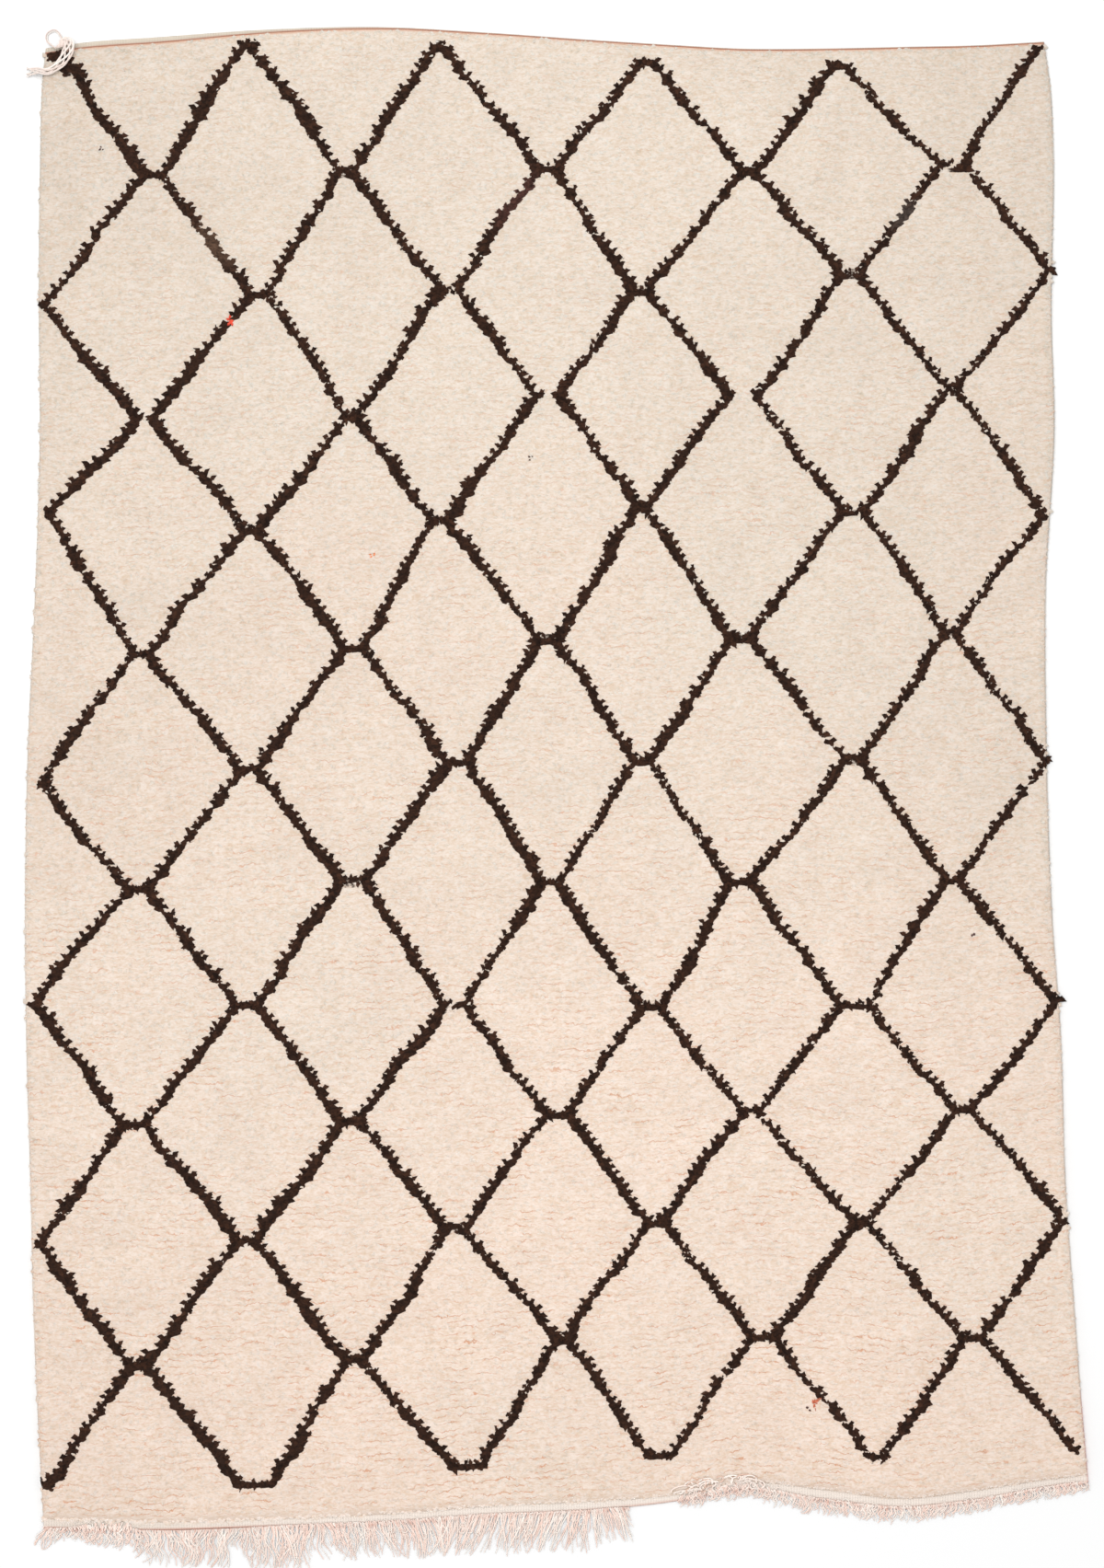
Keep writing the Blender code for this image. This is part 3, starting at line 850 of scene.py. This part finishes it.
def flat_weave():
    """Weft-faced plain weave, with the trellis as dark dashes on its underside."""
    s = Shader("flat_weave", 0.9)
    spot = s.place()
    x, y, z = (s.part(axis, spot) for axis in "XYZ")
    wefts = y.math("SINE", y * (TURN / WEFT_STEP))
    warps = x.math("SINE", x * (TURN / WARP_STEP))
    weave = wefts * 0.3 + warps * wefts * 0.2 + s.noise(spot, 320.0) * 0.5
    under = 1 - z.step(0.0008, 0.0016)
    ragged = s.attribute("line") + warps * 0.001
    dark = (1 - ragged.step(-0.002, 0.001)) * under
    # Painted light and shade on the threads' ribs, over random patches of tone.
    light = 0.93 + weave * 0.10 + s.noise(spot, 40.0) * 0.06
    # The band of bare weave at the lower end is paler, and its upper edge wanders.
    bare = (s.attribute("below") + (s.noise(spot, 90.0, 3.0) - 0.5) * 0.010).step(-0.002, 0.006)
    ground = s.mix(bare * (0.1 + 0.3 * x.step(-0.85, -0.45)), s.yarn(), BAND)
    ground = s.mix(s.attribute("hem"), ground, HEM)
    colour = s.mix(dark * 0.92, s.tinted(ground, light), DARK)
    return s.feed(colour, weave, 0.0010, 0.8)


def warp_yarn():
    """Twisted cotton-like warp yarn: slanting plies round it, painted lighter and darker by turns as light
    and shade on the twist, over each yarn's own colour between pink and off-white.
    """
    s = Shader("warp_yarn", 0.88, 0.2)
    strand = s.attribute("strand", "Vector")
    turn = s.part("X", strand) * (4 * math.pi) + s.part("Y", strand) * 900.0
    plies = turn.math("SINE", turn) * 0.5 + 0.5
    clouds = s.noise(s.place(), 120.0, 3.0)
    # Painted light and shade along the plies, over random patches of tone.
    light = 0.88 + plies * 0.14 + clouds * 0.10
    return s.feed(s.tinted(s.yarn(), light), plies, 0.0006, 0.7)


# ---- the pieces


def finer_at_ends(few, many):
    """Shares from 0 to 1 that lie closer in the first and last hundredth."""
    middle = np.linspace(0.01, 0.99, many)[1:-1]
    return joined(np.linspace(0, 0.01, few), middle, np.linspace(0.99, 1, few))


def twice(values):
    """A grid's values for the cloth's top, and again for its underside."""
    return np.concatenate([values.reshape(-1, *values.shape[2:])] * 2)


def make_ground_weave(finish):
    """The cloth itself: a closed slab from the lower edge to the upper one, thicker along its sides,
    where the outer warps are overcast. Heights are those of the weave on top and the floor below."""
    u, v = np.meshgrid(finer_at_ends(6, 105), finer_at_ends(13, 150), indexing="ij")
    x, y = laid(u, v, lambda x: end(x, "bottom"), lambda x: end(x, "top"))
    bead = unit(1 - from_sides(x, y) / BEAD_WIDTH)
    top = GROUND_WEAVE + BEAD_HEIGHT * bead * (1 + 0.4 * drift(x, y, 0.008, 41))
    points = stacked(x, y, top).reshape(-1, 3)
    points = joined(points, points * (1, 1, 0))
    cells, rim, count = grid_corners(*u.shape), rim_of(*u.shape), u.size
    wall = stacked(rim + count, np.roll(rim, -1) + count, np.roll(rim, -1), rim)
    corners = joined(cells, cells[:, ::-1] + count, wall).ravel()
    # In the bake's square the top lies on the left, with the wall round it, and the underside on the right.
    # The wall has no width from above, so its lower points count as lying a little outside.
    share = boxed(points)
    upper = share[cells.ravel()] * (0.47, 0.96) + (0.015, 0.02)
    under = share[cells[:, ::-1].ravel()] * (0.48, 0.98) + (0.51, 0.01)
    edges = share[(wall % count).ravel()].reshape(-1, 4, 2)
    edges = edges + (edges - 0.5) * np.array([0.012, 0.012, 0.0, 0.0])[:, None]
    bake = joined(upper, under, edges.reshape(-1, 2) * (0.47, 0.96) + (0.015, 0.02))
    past = y - pile_high(x)
    # Painted light and shade on the heading: shaded next to the pile and lighter further out, with a painted
    # salmon shadow along the pile's foot.
    colour = mixed(wool_colour(x, y), HEADING * 0.95, unit(past / 0.002 + 0.5))
    colour = mixed(colour, HEADING * 1.10, unit(past / 0.010 - 0.2))
    colour = mixed(colour, PILE_FOOT_SHADOW, unit(1.4 - np.abs(past - 0.001) / 0.0022))
    selvedge = unit(1 - (side(y, "right") - x) / 0.004) * unit((-1.15 - y) / 0.05)
    colour = mixed(colour, SELVEDGE, selvedge)
    hem = unit(1.5 - (y - end(x, "bottom")) / 0.0035) * np.clip(0.35 - x * 0.9, 0.5, 1.0)
    made = built(
        "ground_weave", points, corners, np.full(len(corners) // 4, 4), finish, bake,
        yarn=rgba(twice(colour)), line=twice(from_trellis(x, row_at(x, y))),
        below=twice(pile_low(x) - y), hem=twice(hem),
    )
    rim_x, rim_y = points[rim, :2].T
    return made, float(np.abs(np.sum(rim_x * np.roll(rim_y, -1) - rim_y * np.roll(rim_x, -1))) / 2)


def make_bed(name, first_row, last_row, finish):
    """One half of the bed: a grid over the pile's rows, two steps to a row so that each row is a low
    ridge between creases, closed by a rim that slopes down to the ground weave."""
    rng = np.random.default_rng(SEED + first_row)
    place = first_row + np.arange((last_row - first_row) * BED_PER_ROW + 1) / BED_PER_ROW
    u, row = np.meshgrid(np.linspace(0, 1, BED_ACROSS + 1), place, indexing="ij")
    x, y = on_pile(u, row / ROWS)
    x = np.clip(x, side(y, "left") + BED_INSET, side(y, "right") - BED_INSET)
    ridge = np.abs(np.sin(np.pi * row))
    parted = 0.35 + 0.65 * unit(0.5 + drift(x, row, 0.05, 51))
    z = bed_height(x, y) - CREASE * (1 - ridge) * parted * unit(inset(x, y) / 0.008)
    z += 0.0006 * rng.uniform(-1, 1, z.shape) * unit(inset(x, y) / SHOULDER)
    # The two halves overlap, and each one's last points there lie under the other half.
    buried = (row < first_row + 0.1) & (first_row > 0) | (row > last_row - 0.1) & (last_row < ROWS)
    z -= 0.003 * buried
    line = from_trellis(x, row + 0.001)
    points = stacked(x, y, z).reshape(-1, 3)
    cells, rim, count = grid_corners(*u.shape), rim_of(*u.shape), u.size
    foot = points[rim]
    along_rim = np.roll(foot, -1, axis=0) - np.roll(foot, 1, axis=0)
    foot[:, :2] += units(along_rim[:, 1::-1] * (1, -1)) * 0.0008
    foot[:, 2] = GROUND_WEAVE + 0.0003
    around = np.arange(len(rim)) + count
    wall = stacked(around, np.roll(around, -1), np.roll(rim, -1), rim)
    corners = joined(cells.ravel(), wall.ravel(), around[::-1])
    sizes = joined(np.full(len(cells) + len(wall), 4), [len(rim)])
    points = joined(points, foot)
    # In the bake's square the bed's underside is a strip above the rest.
    share = boxed(points)
    bake = share[corners] * (0.99, 0.95) + (0.005, 0.005)
    bake[-len(rim) :] = share[around[::-1]] * (0.9, 0.03) + (0.05, 0.965)
    across, along = points[:, 0], points[:, 1]
    # Painted warm shade over the whole bed, which lies beneath the locks, and strongly along its upper rim
    # as the shadow at the pile's foot.
    last = unit(1 - (pile_high(across) - along) / 0.005)
    colour = mixed(wool_colour(across, along), WARM_SHADE_AND_LOOP_TINT, np.maximum(0.16, 0.8 * last))
    knot = dark_colour(across, along, np.full(len(across), 0.35))
    line, row = (joined(values.ravel(), values.ravel()[rim]) for values in (line, row))
    values = {"yarn": rgba(colour), "knot": rgba(knot), "line": line, "row": row}
    return built(name, points, corners, sizes, finish, bake, **values)


def outward_heading(x, y, heading, reach):
    """Headings near the rug's sides are turned to point outwards."""
    push = unit(1 - (side(y, "right") - x) / reach) - unit(1 - (x - side(y, "left")) / reach)
    return np.arctan2(np.sin(heading), np.cos(heading) + 3 * push)


def make_ivory_locks(finish, pieces=3):
    """Locks of the field, row by row. They lie to either side along their row, and more at random
    towards the rug's left."""
    rng = np.random.default_rng(SEED + 2)
    u = (np.arange(KNOTS)[:, None] + 0.5 + rng.uniform(-0.5, 0.5, (KNOTS, ROWS))) / KNOTS
    # The knots next to the rug's sides stand close to the edge.
    u[:2], u[-2:] = rng.uniform(0.001, 0.004, (2, ROWS)), rng.uniform(0.996, 0.999, (2, ROWS))
    row = np.arange(ROWS)[None, :] + np.zeros((KNOTS, 1))
    x, y = on_pile(u, (row + 0.5 + rng.uniform(-0.22, 0.22, u.shape)) / ROWS)
    x, y, row = x.T.ravel(), y.T.ravel(), row.T.ravel()
    # Three times as many hang down over the pile's lower end, in row 0.
    more_x, more_y = on_pile(rng.uniform(0, 1, KNOTS * 2), rng.uniform(0.1, 0.8, KNOTS * 2) / ROWS)
    x, y, row = np.append(x, more_x), np.append(y, more_y), np.append(row, np.zeros(KNOTS * 2))
    count = len(x)
    swirl = np.clip(0.55 - 0.35 * x, 0.2, 1.0)
    heading = np.where(rng.uniform(size=count) < 0.5 + 0.35 * drift(x, y, 0.12, 61), 0, math.pi)
    heading = heading + rng.normal(0, 1, count) * swirl
    at_rim = unit(1 - inset(x, y) / 0.012)
    length = rng.uniform(*IVORY_LENGTH, count) * (1 - 0.3 * at_rim)
    # Tips past the sides by more than a little, or close to the upper edge, turn back, and so do those
    # that would cover the dark knots.
    tip_x, tip_y = x + np.cos(heading) * length, y + np.sin(heading) * length
    past = np.maximum(tip_x - side(tip_y, "right") - PAST_SIDES, side(tip_y, "left") - tip_x - PAST_SIDES)
    heading = np.where(past > 0, math.pi - heading, heading)
    heading = np.where(tip_y > pile_high(tip_x) - SHORT_OF_TOP, -heading, heading)
    tip_x, tip_y = x + np.cos(heading) * length, y + np.sin(heading) * length
    to_dark = from_trellis(tip_x, np.clip(row_at(tip_x, tip_y), 0, ROWS - 1))
    heading = np.where(to_dark < -0.004, heading + math.pi, heading)
    # The first row's locks hang down over the flat weave, and further so towards the left.
    heading = np.where(row == 0, -math.pi / 2 + rng.normal(0, 0.5, count), heading)
    length = np.where(row == 0, length * np.clip(0.85 - 0.5 * x, 0.6, 1.4), length)
    keep = from_trellis(x, row) > 0.0005
    # In the field only the upper side of a lock shows, and its edges and tip sink into the bed.
    lift = rng.uniform(-0.0014, -0.0006, count) + 0.0016 * at_rim
    lift = np.where(row == 0, rng.uniform(-0.0004, 0.0006, count), lift)
    width = rng.uniform(*IVORY_WIDTH, count) * (1 + 0.1 * at_rim)
    bend = rng.normal(0, 0.35, count)
    tone = rng.normal(1.0, 0.025, count)[:, None]
    colour = mixed(wool_colour(x, y) * tone, BAND, 0.45 * (row == 0))
    colour = with_strays(colour, x, y)
    # The roots are painted in warm shade.
    root = mixed(colour, WARM_SHADE_AND_LOOP_TINT, np.full(count, 0.35))
    bands = np.clip((row * pieces / ROWS).astype(int), 0, pieces - 1)
    made = []
    for band in range(pieces):
        now = keep & (bands == band)
        values = [v[now] for v in (x, y, heading, bend, length, width, lift, colour, root)]
        name = f"ivory_locks_{band + 1}"
        made.append(make_locks(name, *values, finish, blunt=0.5, ridge=0.34, upright=0.7))
    return made


def make_dark_locks(finish):
    """Locks of the trellis: thick ones in each row that a line crosses, which lie outwards from its middle,
    so that the outer ones stand over the ivory as teeth. Bars get a short row of locks that lie up or down
    the rug, and clumps and stray tufts get whorls."""
    rng = np.random.default_rng(SEED + 3)
    index, row = (a.ravel() for a in np.meshgrid(np.arange(len(LINES)), np.arange(ROWS), indexing="ij"))
    x = (LINES[index, 0] + LINES[index, 2]) / 2
    for _ in range(4):
        y = row_middle(x, row)
        x, half = line_at(index, y, row * 1.0)
    on_line = (y < LINES[index, 1] + PAST_CROSSING) & (y > LINES[index, 3] - PAST_CROSSING)
    x, y, half, way = x[on_line], y[on_line], half[on_line], LINES[index[on_line], 4]
    x0, y0, x1, y1, _ = LINES[index[on_line]].T
    down = np.arctan2(y1 - y0, x1 - x0)[:, None]
    # Two locks lie outwards from each side of the middle and one lies down the line to the next row's knots.
    # The upper side's reach further past the knots.
    spot = np.tile([-0.35, -0.6, 0.0, 0.6, 0.35], (len(x), 1))
    facing = np.sign(spot)
    upper = facing * way[:, None] > 0
    reach = np.where(upper, rng.uniform(0.0035, 0.0085, spot.shape), rng.uniform(0.0005, 0.0040, spot.shape))
    reach = np.where(np.abs(spot) > 0.5, reach * 0.4, reach)
    half = half[:, None]
    px = x[:, None] + spot * half + rng.uniform(-0.0015, 0.0015, spot.shape)
    py = y[:, None] + rng.uniform(-0.0028, 0.0028, spot.shape)
    length = np.maximum((1 - np.abs(spot)) * half + reach, 0.006)
    length = np.where(spot == 0, 1.15 * ROW_STEP / np.abs(np.sin(down)), length)
    heading = np.where(facing < 0, math.pi, 0.22 * way[:, None] * upper)
    heading = np.where(upper & (facing < 0), math.pi + 0.22 * way[:, None], heading)
    heading = np.where(spot == 0, down, heading) + rng.normal(0, 0.24, spot.shape)
    width = rng.uniform(*DARK_WIDTH, spot.shape)
    parts = [[a.ravel() for a in (px, py, heading, length, width)]]
    for x0, y0, wide, tall in CLUMPS:
        count = int(wide * tall / 0.0045**2 * 0.8)
        turn, out = rng.uniform(0, TURN, count), rng.uniform(0.2, 0.85, count)
        bx, by = x0 + np.cos(turn) * out * wide, y0 + np.sin(turn) * out * tall
        reach = rng.uniform(0.006, 0.010, count)
        parts.append([bx, by, turn + rng.normal(0, 0.4, count), reach, reach * 1.3])
    for x0, y0, apart in BARS:
        count = max(4, int(apart / 0.0040))
        bx = x0 + np.linspace(-0.5, 0.5, count) * apart + rng.uniform(-0.002, 0.002, count)
        by = y0 + rng.uniform(-0.003, 0.003, count)
        turn = rng.choice([-1, 1], count) * math.pi / 2 + rng.normal(0, 0.6, count)
        parts.append([bx, by, turn, rng.uniform(0.008, 0.015, count), rng.uniform(0.009, 0.013, count)])
    for x0, y0, reach, _ in STRAYS:
        count = 3 + int(reach / 0.003)
        turn, out = rng.uniform(0, TURN, count), rng.uniform(0.0, 0.6, count) * reach
        bx, by = x0 - ORIGIN[0] + np.cos(turn) * out, y0 - ORIGIN[1] + np.sin(turn) * out * 1.3
        length, width = (np.full(count, share * reach + 0.002) for share in (0.8, 0.6))
        parts.append([bx, by, turn, length, width])
    x, y, heading, length, width = (np.concatenate(column) for column in zip(*parts))
    heading = outward_heading(x, y, heading, 0.012)
    count = len(x)
    colour = with_strays(dark_colour(x, y, rng.uniform(0, 1, count)), x, y)
    bend, lift = rng.normal(0, 0.35, count), rng.uniform(0.0004, 0.0016, count)
    # The dark locks' roots are painted in shade, a fifth darker.
    values = (x, y, heading, bend, length, width, lift, colour, colour * 0.8)
    return make_locks("dark_locks", *values, finish, blunt=0.42, ridge=0.28, upright=0.6)


def make_tubes(name, paths, radius, colour, sides, finish, upright=0.5):
    """Yarns: each path's points carry a ring of a few points, in the plane across the path. Radius and
    colour are given for each path and point. As on the locks, the normals lean towards straight up."""
    count, steps = paths.shape[:2]
    ahead = units(np.gradient(paths, axis=1))
    aside = units(stacked(-ahead[..., 1], ahead[..., 0], np.zeros((count, steps))))
    over = np.cross(ahead, aside)
    angles = np.arange(sides) * TURN / sides + math.pi / 4
    ring = aside[:, :, None] * np.cos(angles)[:, None] + over[:, :, None] * np.sin(angles)[:, None]
    points = (paths[:, :, None] + ring * radius[:, :, None, None]).reshape(-1, 3)
    normals = units(ring * (1 - upright) + np.array([0, 0, upright])).reshape(-1, 3)
    j, k = np.meshgrid(np.arange(steps - 1), np.arange(sides), indexing="ij")
    low, high, after = j * sides, (j + 1) * sides, (k + 1) % sides
    quads = stacked(low + k, low + after, high + after, high + k)
    caps = np.stack([np.arange(sides)[::-1], (steps - 1) * sides + np.arange(sides)])
    shape = joined(quads.ravel(), caps.ravel())
    corners = (np.arange(count)[:, None] * steps * sides + shape).ravel()
    sizes = np.tile([4] * j.size + [sides] * 2, count)
    # In the bake's square each yarn is a column, with its two ends' caps below and above it.
    u = stacked(k, k + 1, k + 1, k).reshape(-1) / sides
    v = stacked(j, j, j + 1, j + 1).reshape(-1) / (steps - 1)
    cap = stacked(np.cos(angles), np.sin(angles)) * 0.02
    side_cells = stacked(u, 0.05 + 0.9 * v)
    cell = joined(side_cells, cap[::-1] + (0.5, 0.022), cap + (0.5, 0.978))
    first = stacked(np.arange(count) / count, np.zeros(count))[:, None]
    bake = ((cell[None] * (0.86, 1.0) + (0.07, 0)) * (1 / count, 1) + first).reshape(-1, 2)
    gone = np.cumsum(np.linalg.norm(np.diff(paths, axis=1), axis=2), axis=1)
    length = np.concatenate([np.zeros((count, 1)), gone], axis=1)
    along = np.tile(length[:, :, None], (1, 1, sides))
    around = np.tile(np.arange(sides) / sides, (count, steps, 1))
    number = np.tile(np.arange(count)[:, None, None], (1, steps, sides))
    strand = stacked(around, along, number).reshape(-1, 3)
    yarn = np.tile(rgba(colour)[:, :, None], (1, 1, sides, 1)).reshape(-1, 4)
    return built(name, points, corners, sizes, finish, bake, normals, yarn=yarn, strand=strand)


def make_fringe(finish, count=1380, curls=120, loops=34, steps=10):
    """Warp ends beyond the lower edge: each runs down over the cloth's edge and waves on the floor, leaning
    and waving much as its neighbours do. Curls lie over them here and there, each an arc of a circle. Where
    the edge is bare of warp ends, loops of yarn lie on the cloth and on the pile's last rows, each the upper
    part of an ellipse."""
    rng = np.random.default_rng(SEED + 5)

    def column(low, high, size):
        return rng.uniform(low, high, size)[:, None]

    left, right = side(-1.43, "left") + 0.002, side(-1.35, "right") - 0.004
    x = left + (right - left) * (np.arange(count) + rng.uniform(0, 1, count)) / count
    columns = [np.interp(x + ORIGIN[0], YARNS["across"], YARNS[key]) for key in YARNS.dtype.names[1:]]
    x, length, lean, curl, turns, inward = (a[columns[0] > 0.006] for a in (x, *columns))
    count = len(x)
    # Most yarns end before the longest ones, so that the fringe thins out downwards.
    length = length * (1.1 - 0.65 * rng.uniform(0, 1, count) ** 1.2)
    lean = lean + 0.5 * drift(x, 0.0, 0.030, 71) + np.clip(rng.normal(0, 0.20, count), -0.5, 0.5)
    curl = curl * rng.uniform(0.5, 1.2, count)
    inward = inward * rng.uniform(0.2, 1.0, count) + 0.0005
    turns = turns * rng.uniform(0.8, 1.2, count)
    t = np.linspace(0, 1, steps)[None, :]
    phase = 3.5 * drift(x, 0.0, 0.022, 72) + rng.normal(0, 0.7, count)
    turn = phase[:, None] + TURN * turns[:, None] * t
    aside = curl[:, None] * (np.sin(turn) - np.sin(phase)[:, None]) * np.sqrt(t) * 0.8
    px = x[:, None] + (lean * length)[:, None] * t + aside
    edge = end(x, "bottom")[:, None]
    back = curl[:, None] * (np.cos(turn) - 1) * 0.5 * t
    py = edge + inward[:, None] - (length + inward)[:, None] * t + back
    thick = column(*WARP_RADIUS, count) * (1.05 - 0.5 * t)
    on_cloth = unit((py - edge + 0.004) / 0.004)
    layer = column(0.0002, 0.0024, count) * (1 - 0.7 * t)
    ends = stacked(px, py, thick + layer * (1 - 0.6 * on_cloth) + GROUND_WEAVE * on_cloth)

    under = rng.integers(0, count, curls)
    bend = column(0, TURN, curls) + TURN * column(0.3, 0.8, curls) * t
    wide = column(0.0030, 0.0070, curls)
    down = inward[under] - rng.uniform(0, 0.65, curls) * (length + inward)[under]
    cx = x[under, None] + (lean[under] * -down)[:, None] + wide * np.cos(bend)
    cy = end(x[under], "bottom")[:, None] + down[:, None] + wide * np.sin(bend)
    on_cloth = unit((cy - end(cx, "bottom") + 0.004) / 0.004)
    arcs = stacked(cx, cy, 0.0036 + 0.0008 * np.sin(bend * 0.5) + 0.0018 * on_cloth)

    bend = math.pi * (column(0.7, 1.3, loops) - column(0.6, 1.2, loops) * t)
    wide, tall = column(0.0080, 0.0220, loops), column(0.0050, 0.0100, loops)
    lx = column(0.250, 0.400, loops) - ORIGIN[0] + wide * np.cos(bend)
    ly = end(lx, "bottom") + column(0.002, 0.032, loops) + tall * np.sin(bend)
    floor = np.where(ly < pile_low(lx), GROUND_WEAVE, resting(lx, ly))
    floor = np.where(ly < end(lx, "bottom"), 0.0005, floor)
    lifted = np.maximum(floor, floor.mean(axis=1, keepdims=True)) + 0.0018
    paths = joined(ends, arcs, stacked(lx, ly, lifted))
    thick = joined(thick, np.full((curls, steps), CURL_RADIUS), np.full((loops, steps), LOOP_RADIUS))
    kinds = ((1.0, count), (0.5, curls), (0.6, loops))
    pink = np.concatenate([rng.uniform(0, most, number) for most, number in kinds])
    tone = rng.normal(1.0, 0.03, len(paths))[:, None, None]
    colour = mixed(WARP, PINK_WARP, pink)[:, None] * tone * np.ones((1, steps, 1))
    # The warp ends are rosy where they come over the cloth's edge, and so are some of the loops.
    rosy = unit(1 - np.abs(py - edge + 0.002) / 0.005) * column(-0.3, 0.8, count).clip(0)
    colour[:count] = mixed(colour[:count], HEM, rosy)
    colour[-loops // 4 :] = mixed(colour[-loops // 4 :], WARM_SHADE_AND_LOOP_TINT, np.full((1, steps), 0.6))
    return make_tubes("fringe_yarns", paths, thick, colour, 3, finish, upright=0.9)


def along_route(route, s):
    """A route at the shares s of its way: its level place, the level direction across it, and the columns
    of its table beyond those of the place."""
    knots = np.linspace(0, 1, len(route))
    columns = [smooth(s, knots, route[key]) for key in route.dtype.names]
    place = stacked(*columns[:2]) - ORIGIN
    ahead = units(np.gradient(place, axis=0))
    return place, stacked(ahead[:, 1], -ahead[:, 0]), columns[2:]


def make_corner_yarns(finish, strands=6, steps=60):
    """The corner's tail: strands that wind slowly round one route over the pile and part at its end, a
    ring of two strands beyond the knot, and the knot itself, which is a short thick yarn."""
    rng = np.random.default_rng(SEED + 6)
    s = np.linspace(0, 1, steps)
    place, aside, (height, spread) = along_route(TAIL_ROUTE, s)
    phase = np.arange(strands)[:, None] * TURN / strands
    turn = phase + TURN * 1.1 * s[None, :]
    parting = 0.005 * unit(s * 4 - 3) ** 1.5 * rng.uniform(-1, 1, (strands, 1))
    offset = spread * np.sin(turn) + parting
    over_pile = np.where(inset(*place.T) > -0.002, bed_height(*place.T) + 0.005, 0)
    path = np.zeros((strands + 3, steps, 3))
    path[:strands, :, :2] = place[None] + aside[None] * offset[..., None]
    path[:strands, :, 2] = np.maximum(height, over_pile) + 0.0020 + 0.0013 * (1 + np.cos(turn))
    ring, aside, (height,) = along_route(RING_ROUTE, s)
    for k, out in enumerate((0.0, 0.0030)):
        path[strands + k, :, :2] = ring + aside * (out * np.sin(math.pi * s))[:, None]
        path[strands + k, :, 2] = height + 0.0020 + 0.0010 * k
    path[-1, :, :2] = KNOT_ENDS[0] + (KNOT_ENDS[1] - KNOT_ENDS[0]) * s[:, None]
    path[-1, :, 2] = 0.012 + 0.003 * np.sin(math.pi * s)
    thick = np.full((strands + 3, steps), TAIL_RADIUS) * (1.05 - 0.5 * s**4)
    thick[strands : strands + 2] = RING_RADIUS
    thick[-1] = 0.0012 + 0.0042 * np.sin(math.pi * np.clip(s, 0.02, 0.98)) ** 0.7
    colour = mixed(TAIL_PALE, TAIL_ROSY, rng.uniform(0, 1, strands + 3))
    return make_tubes("corner_yarns", path, thick, colour[:, None] * np.ones((1, steps, 1)), 6, finish)


def make_stage():
    """A pale round floor, soft even light from all round, and a broad lamp above."""
    mesh = bpy.data.meshes.new("floor")
    turn = np.linspace(0, TURN, 96, endpoint=False)
    rim = stacked(FLOOR_RADIUS * np.cos(turn), FLOOR_RADIUS * np.sin(turn), 0 * turn)
    mesh.from_pydata(rim.tolist(), [], [range(len(rim))])
    floor = bpy.data.objects.new("floor", mesh)
    floor.location.z = -FLOOR_DROP
    paint = bpy.data.materials.new("floor_paint")
    paint.use_nodes = True
    shader = paint.node_tree.nodes["Principled BSDF"].inputs
    shader["Base Color"].default_value = (FLOOR_PALE, FLOOR_PALE, FLOOR_PALE, 1)
    shader["Roughness"].default_value = 0.9
    shader["Specular IOR Level"].default_value = 0.0
    mesh.materials.append(paint)
    bpy.context.scene.collection.objects.link(floor)

    world = bpy.data.worlds.new("soft_light")
    world.use_nodes = True
    background = world.node_tree.nodes["Background"].inputs
    background["Color"].default_value = (1, 1, 1, 1)
    background["Strength"].default_value = WORLD_LIGHT
    bpy.context.scene.world = world

    lamp = bpy.data.lights.new("lamp", "AREA")
    lamp.size = LAMP_SIZE
    lamp.energy = LAMP_POWER
    hung = bpy.data.objects.new("lamp", lamp)
    hung.location = LAMP_PLACE
    hung.rotation_euler = (-Vector(LAMP_PLACE)).to_track_quat("-Z", "Y").to_euler()
    bpy.context.scene.collection.objects.link(hung)


def make_camera():
    camera = bpy.data.cameras.new("camera")
    half = FRAME_HEIGHT * PIXEL / 2 / (CAMERA_HEIGHT - PILE_PLANE)
    camera.sensor_width = SENSOR_WIDTH
    camera.lens = SENSOR_WIDTH / 2 / half
    placed = bpy.data.objects.new("camera", camera)
    placed.location = (FRAME_MIDDLE[0] - ORIGIN[0], FRAME_MIDDLE[1] - ORIGIN[1], CAMERA_HEIGHT)
    bpy.context.scene.collection.objects.link(placed)
    bpy.context.scene.camera = placed
    bpy.context.scene.view_settings.view_transform = "Standard"


def main():
    make_camera()
    make_stage()
    wool, dark, bed, weave, yarn = lock_wool(), dark_wool(), bed_wool(), flat_weave(), warp_yarn()
    cloth, area = make_ground_weave(weave)
    middle = ROWS // 2
    pile = [
        make_bed("pile_bed_lower", 0, middle + 1, bed),
        make_bed("pile_bed_upper", middle - 1, ROWS, bed),
        *make_ivory_locks(wool),
        make_dark_locks(dark),
    ]
    fringe = make_fringe(yarn)
    tail = make_corner_yarns(yarn)
    for made in [cloth, *pile]:
        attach(made, "root")
        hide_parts("rug")
    for made, node in ((fringe, "fringe"), (tail, "corner_tail")):
        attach(made, "root")
        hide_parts(node)


main()
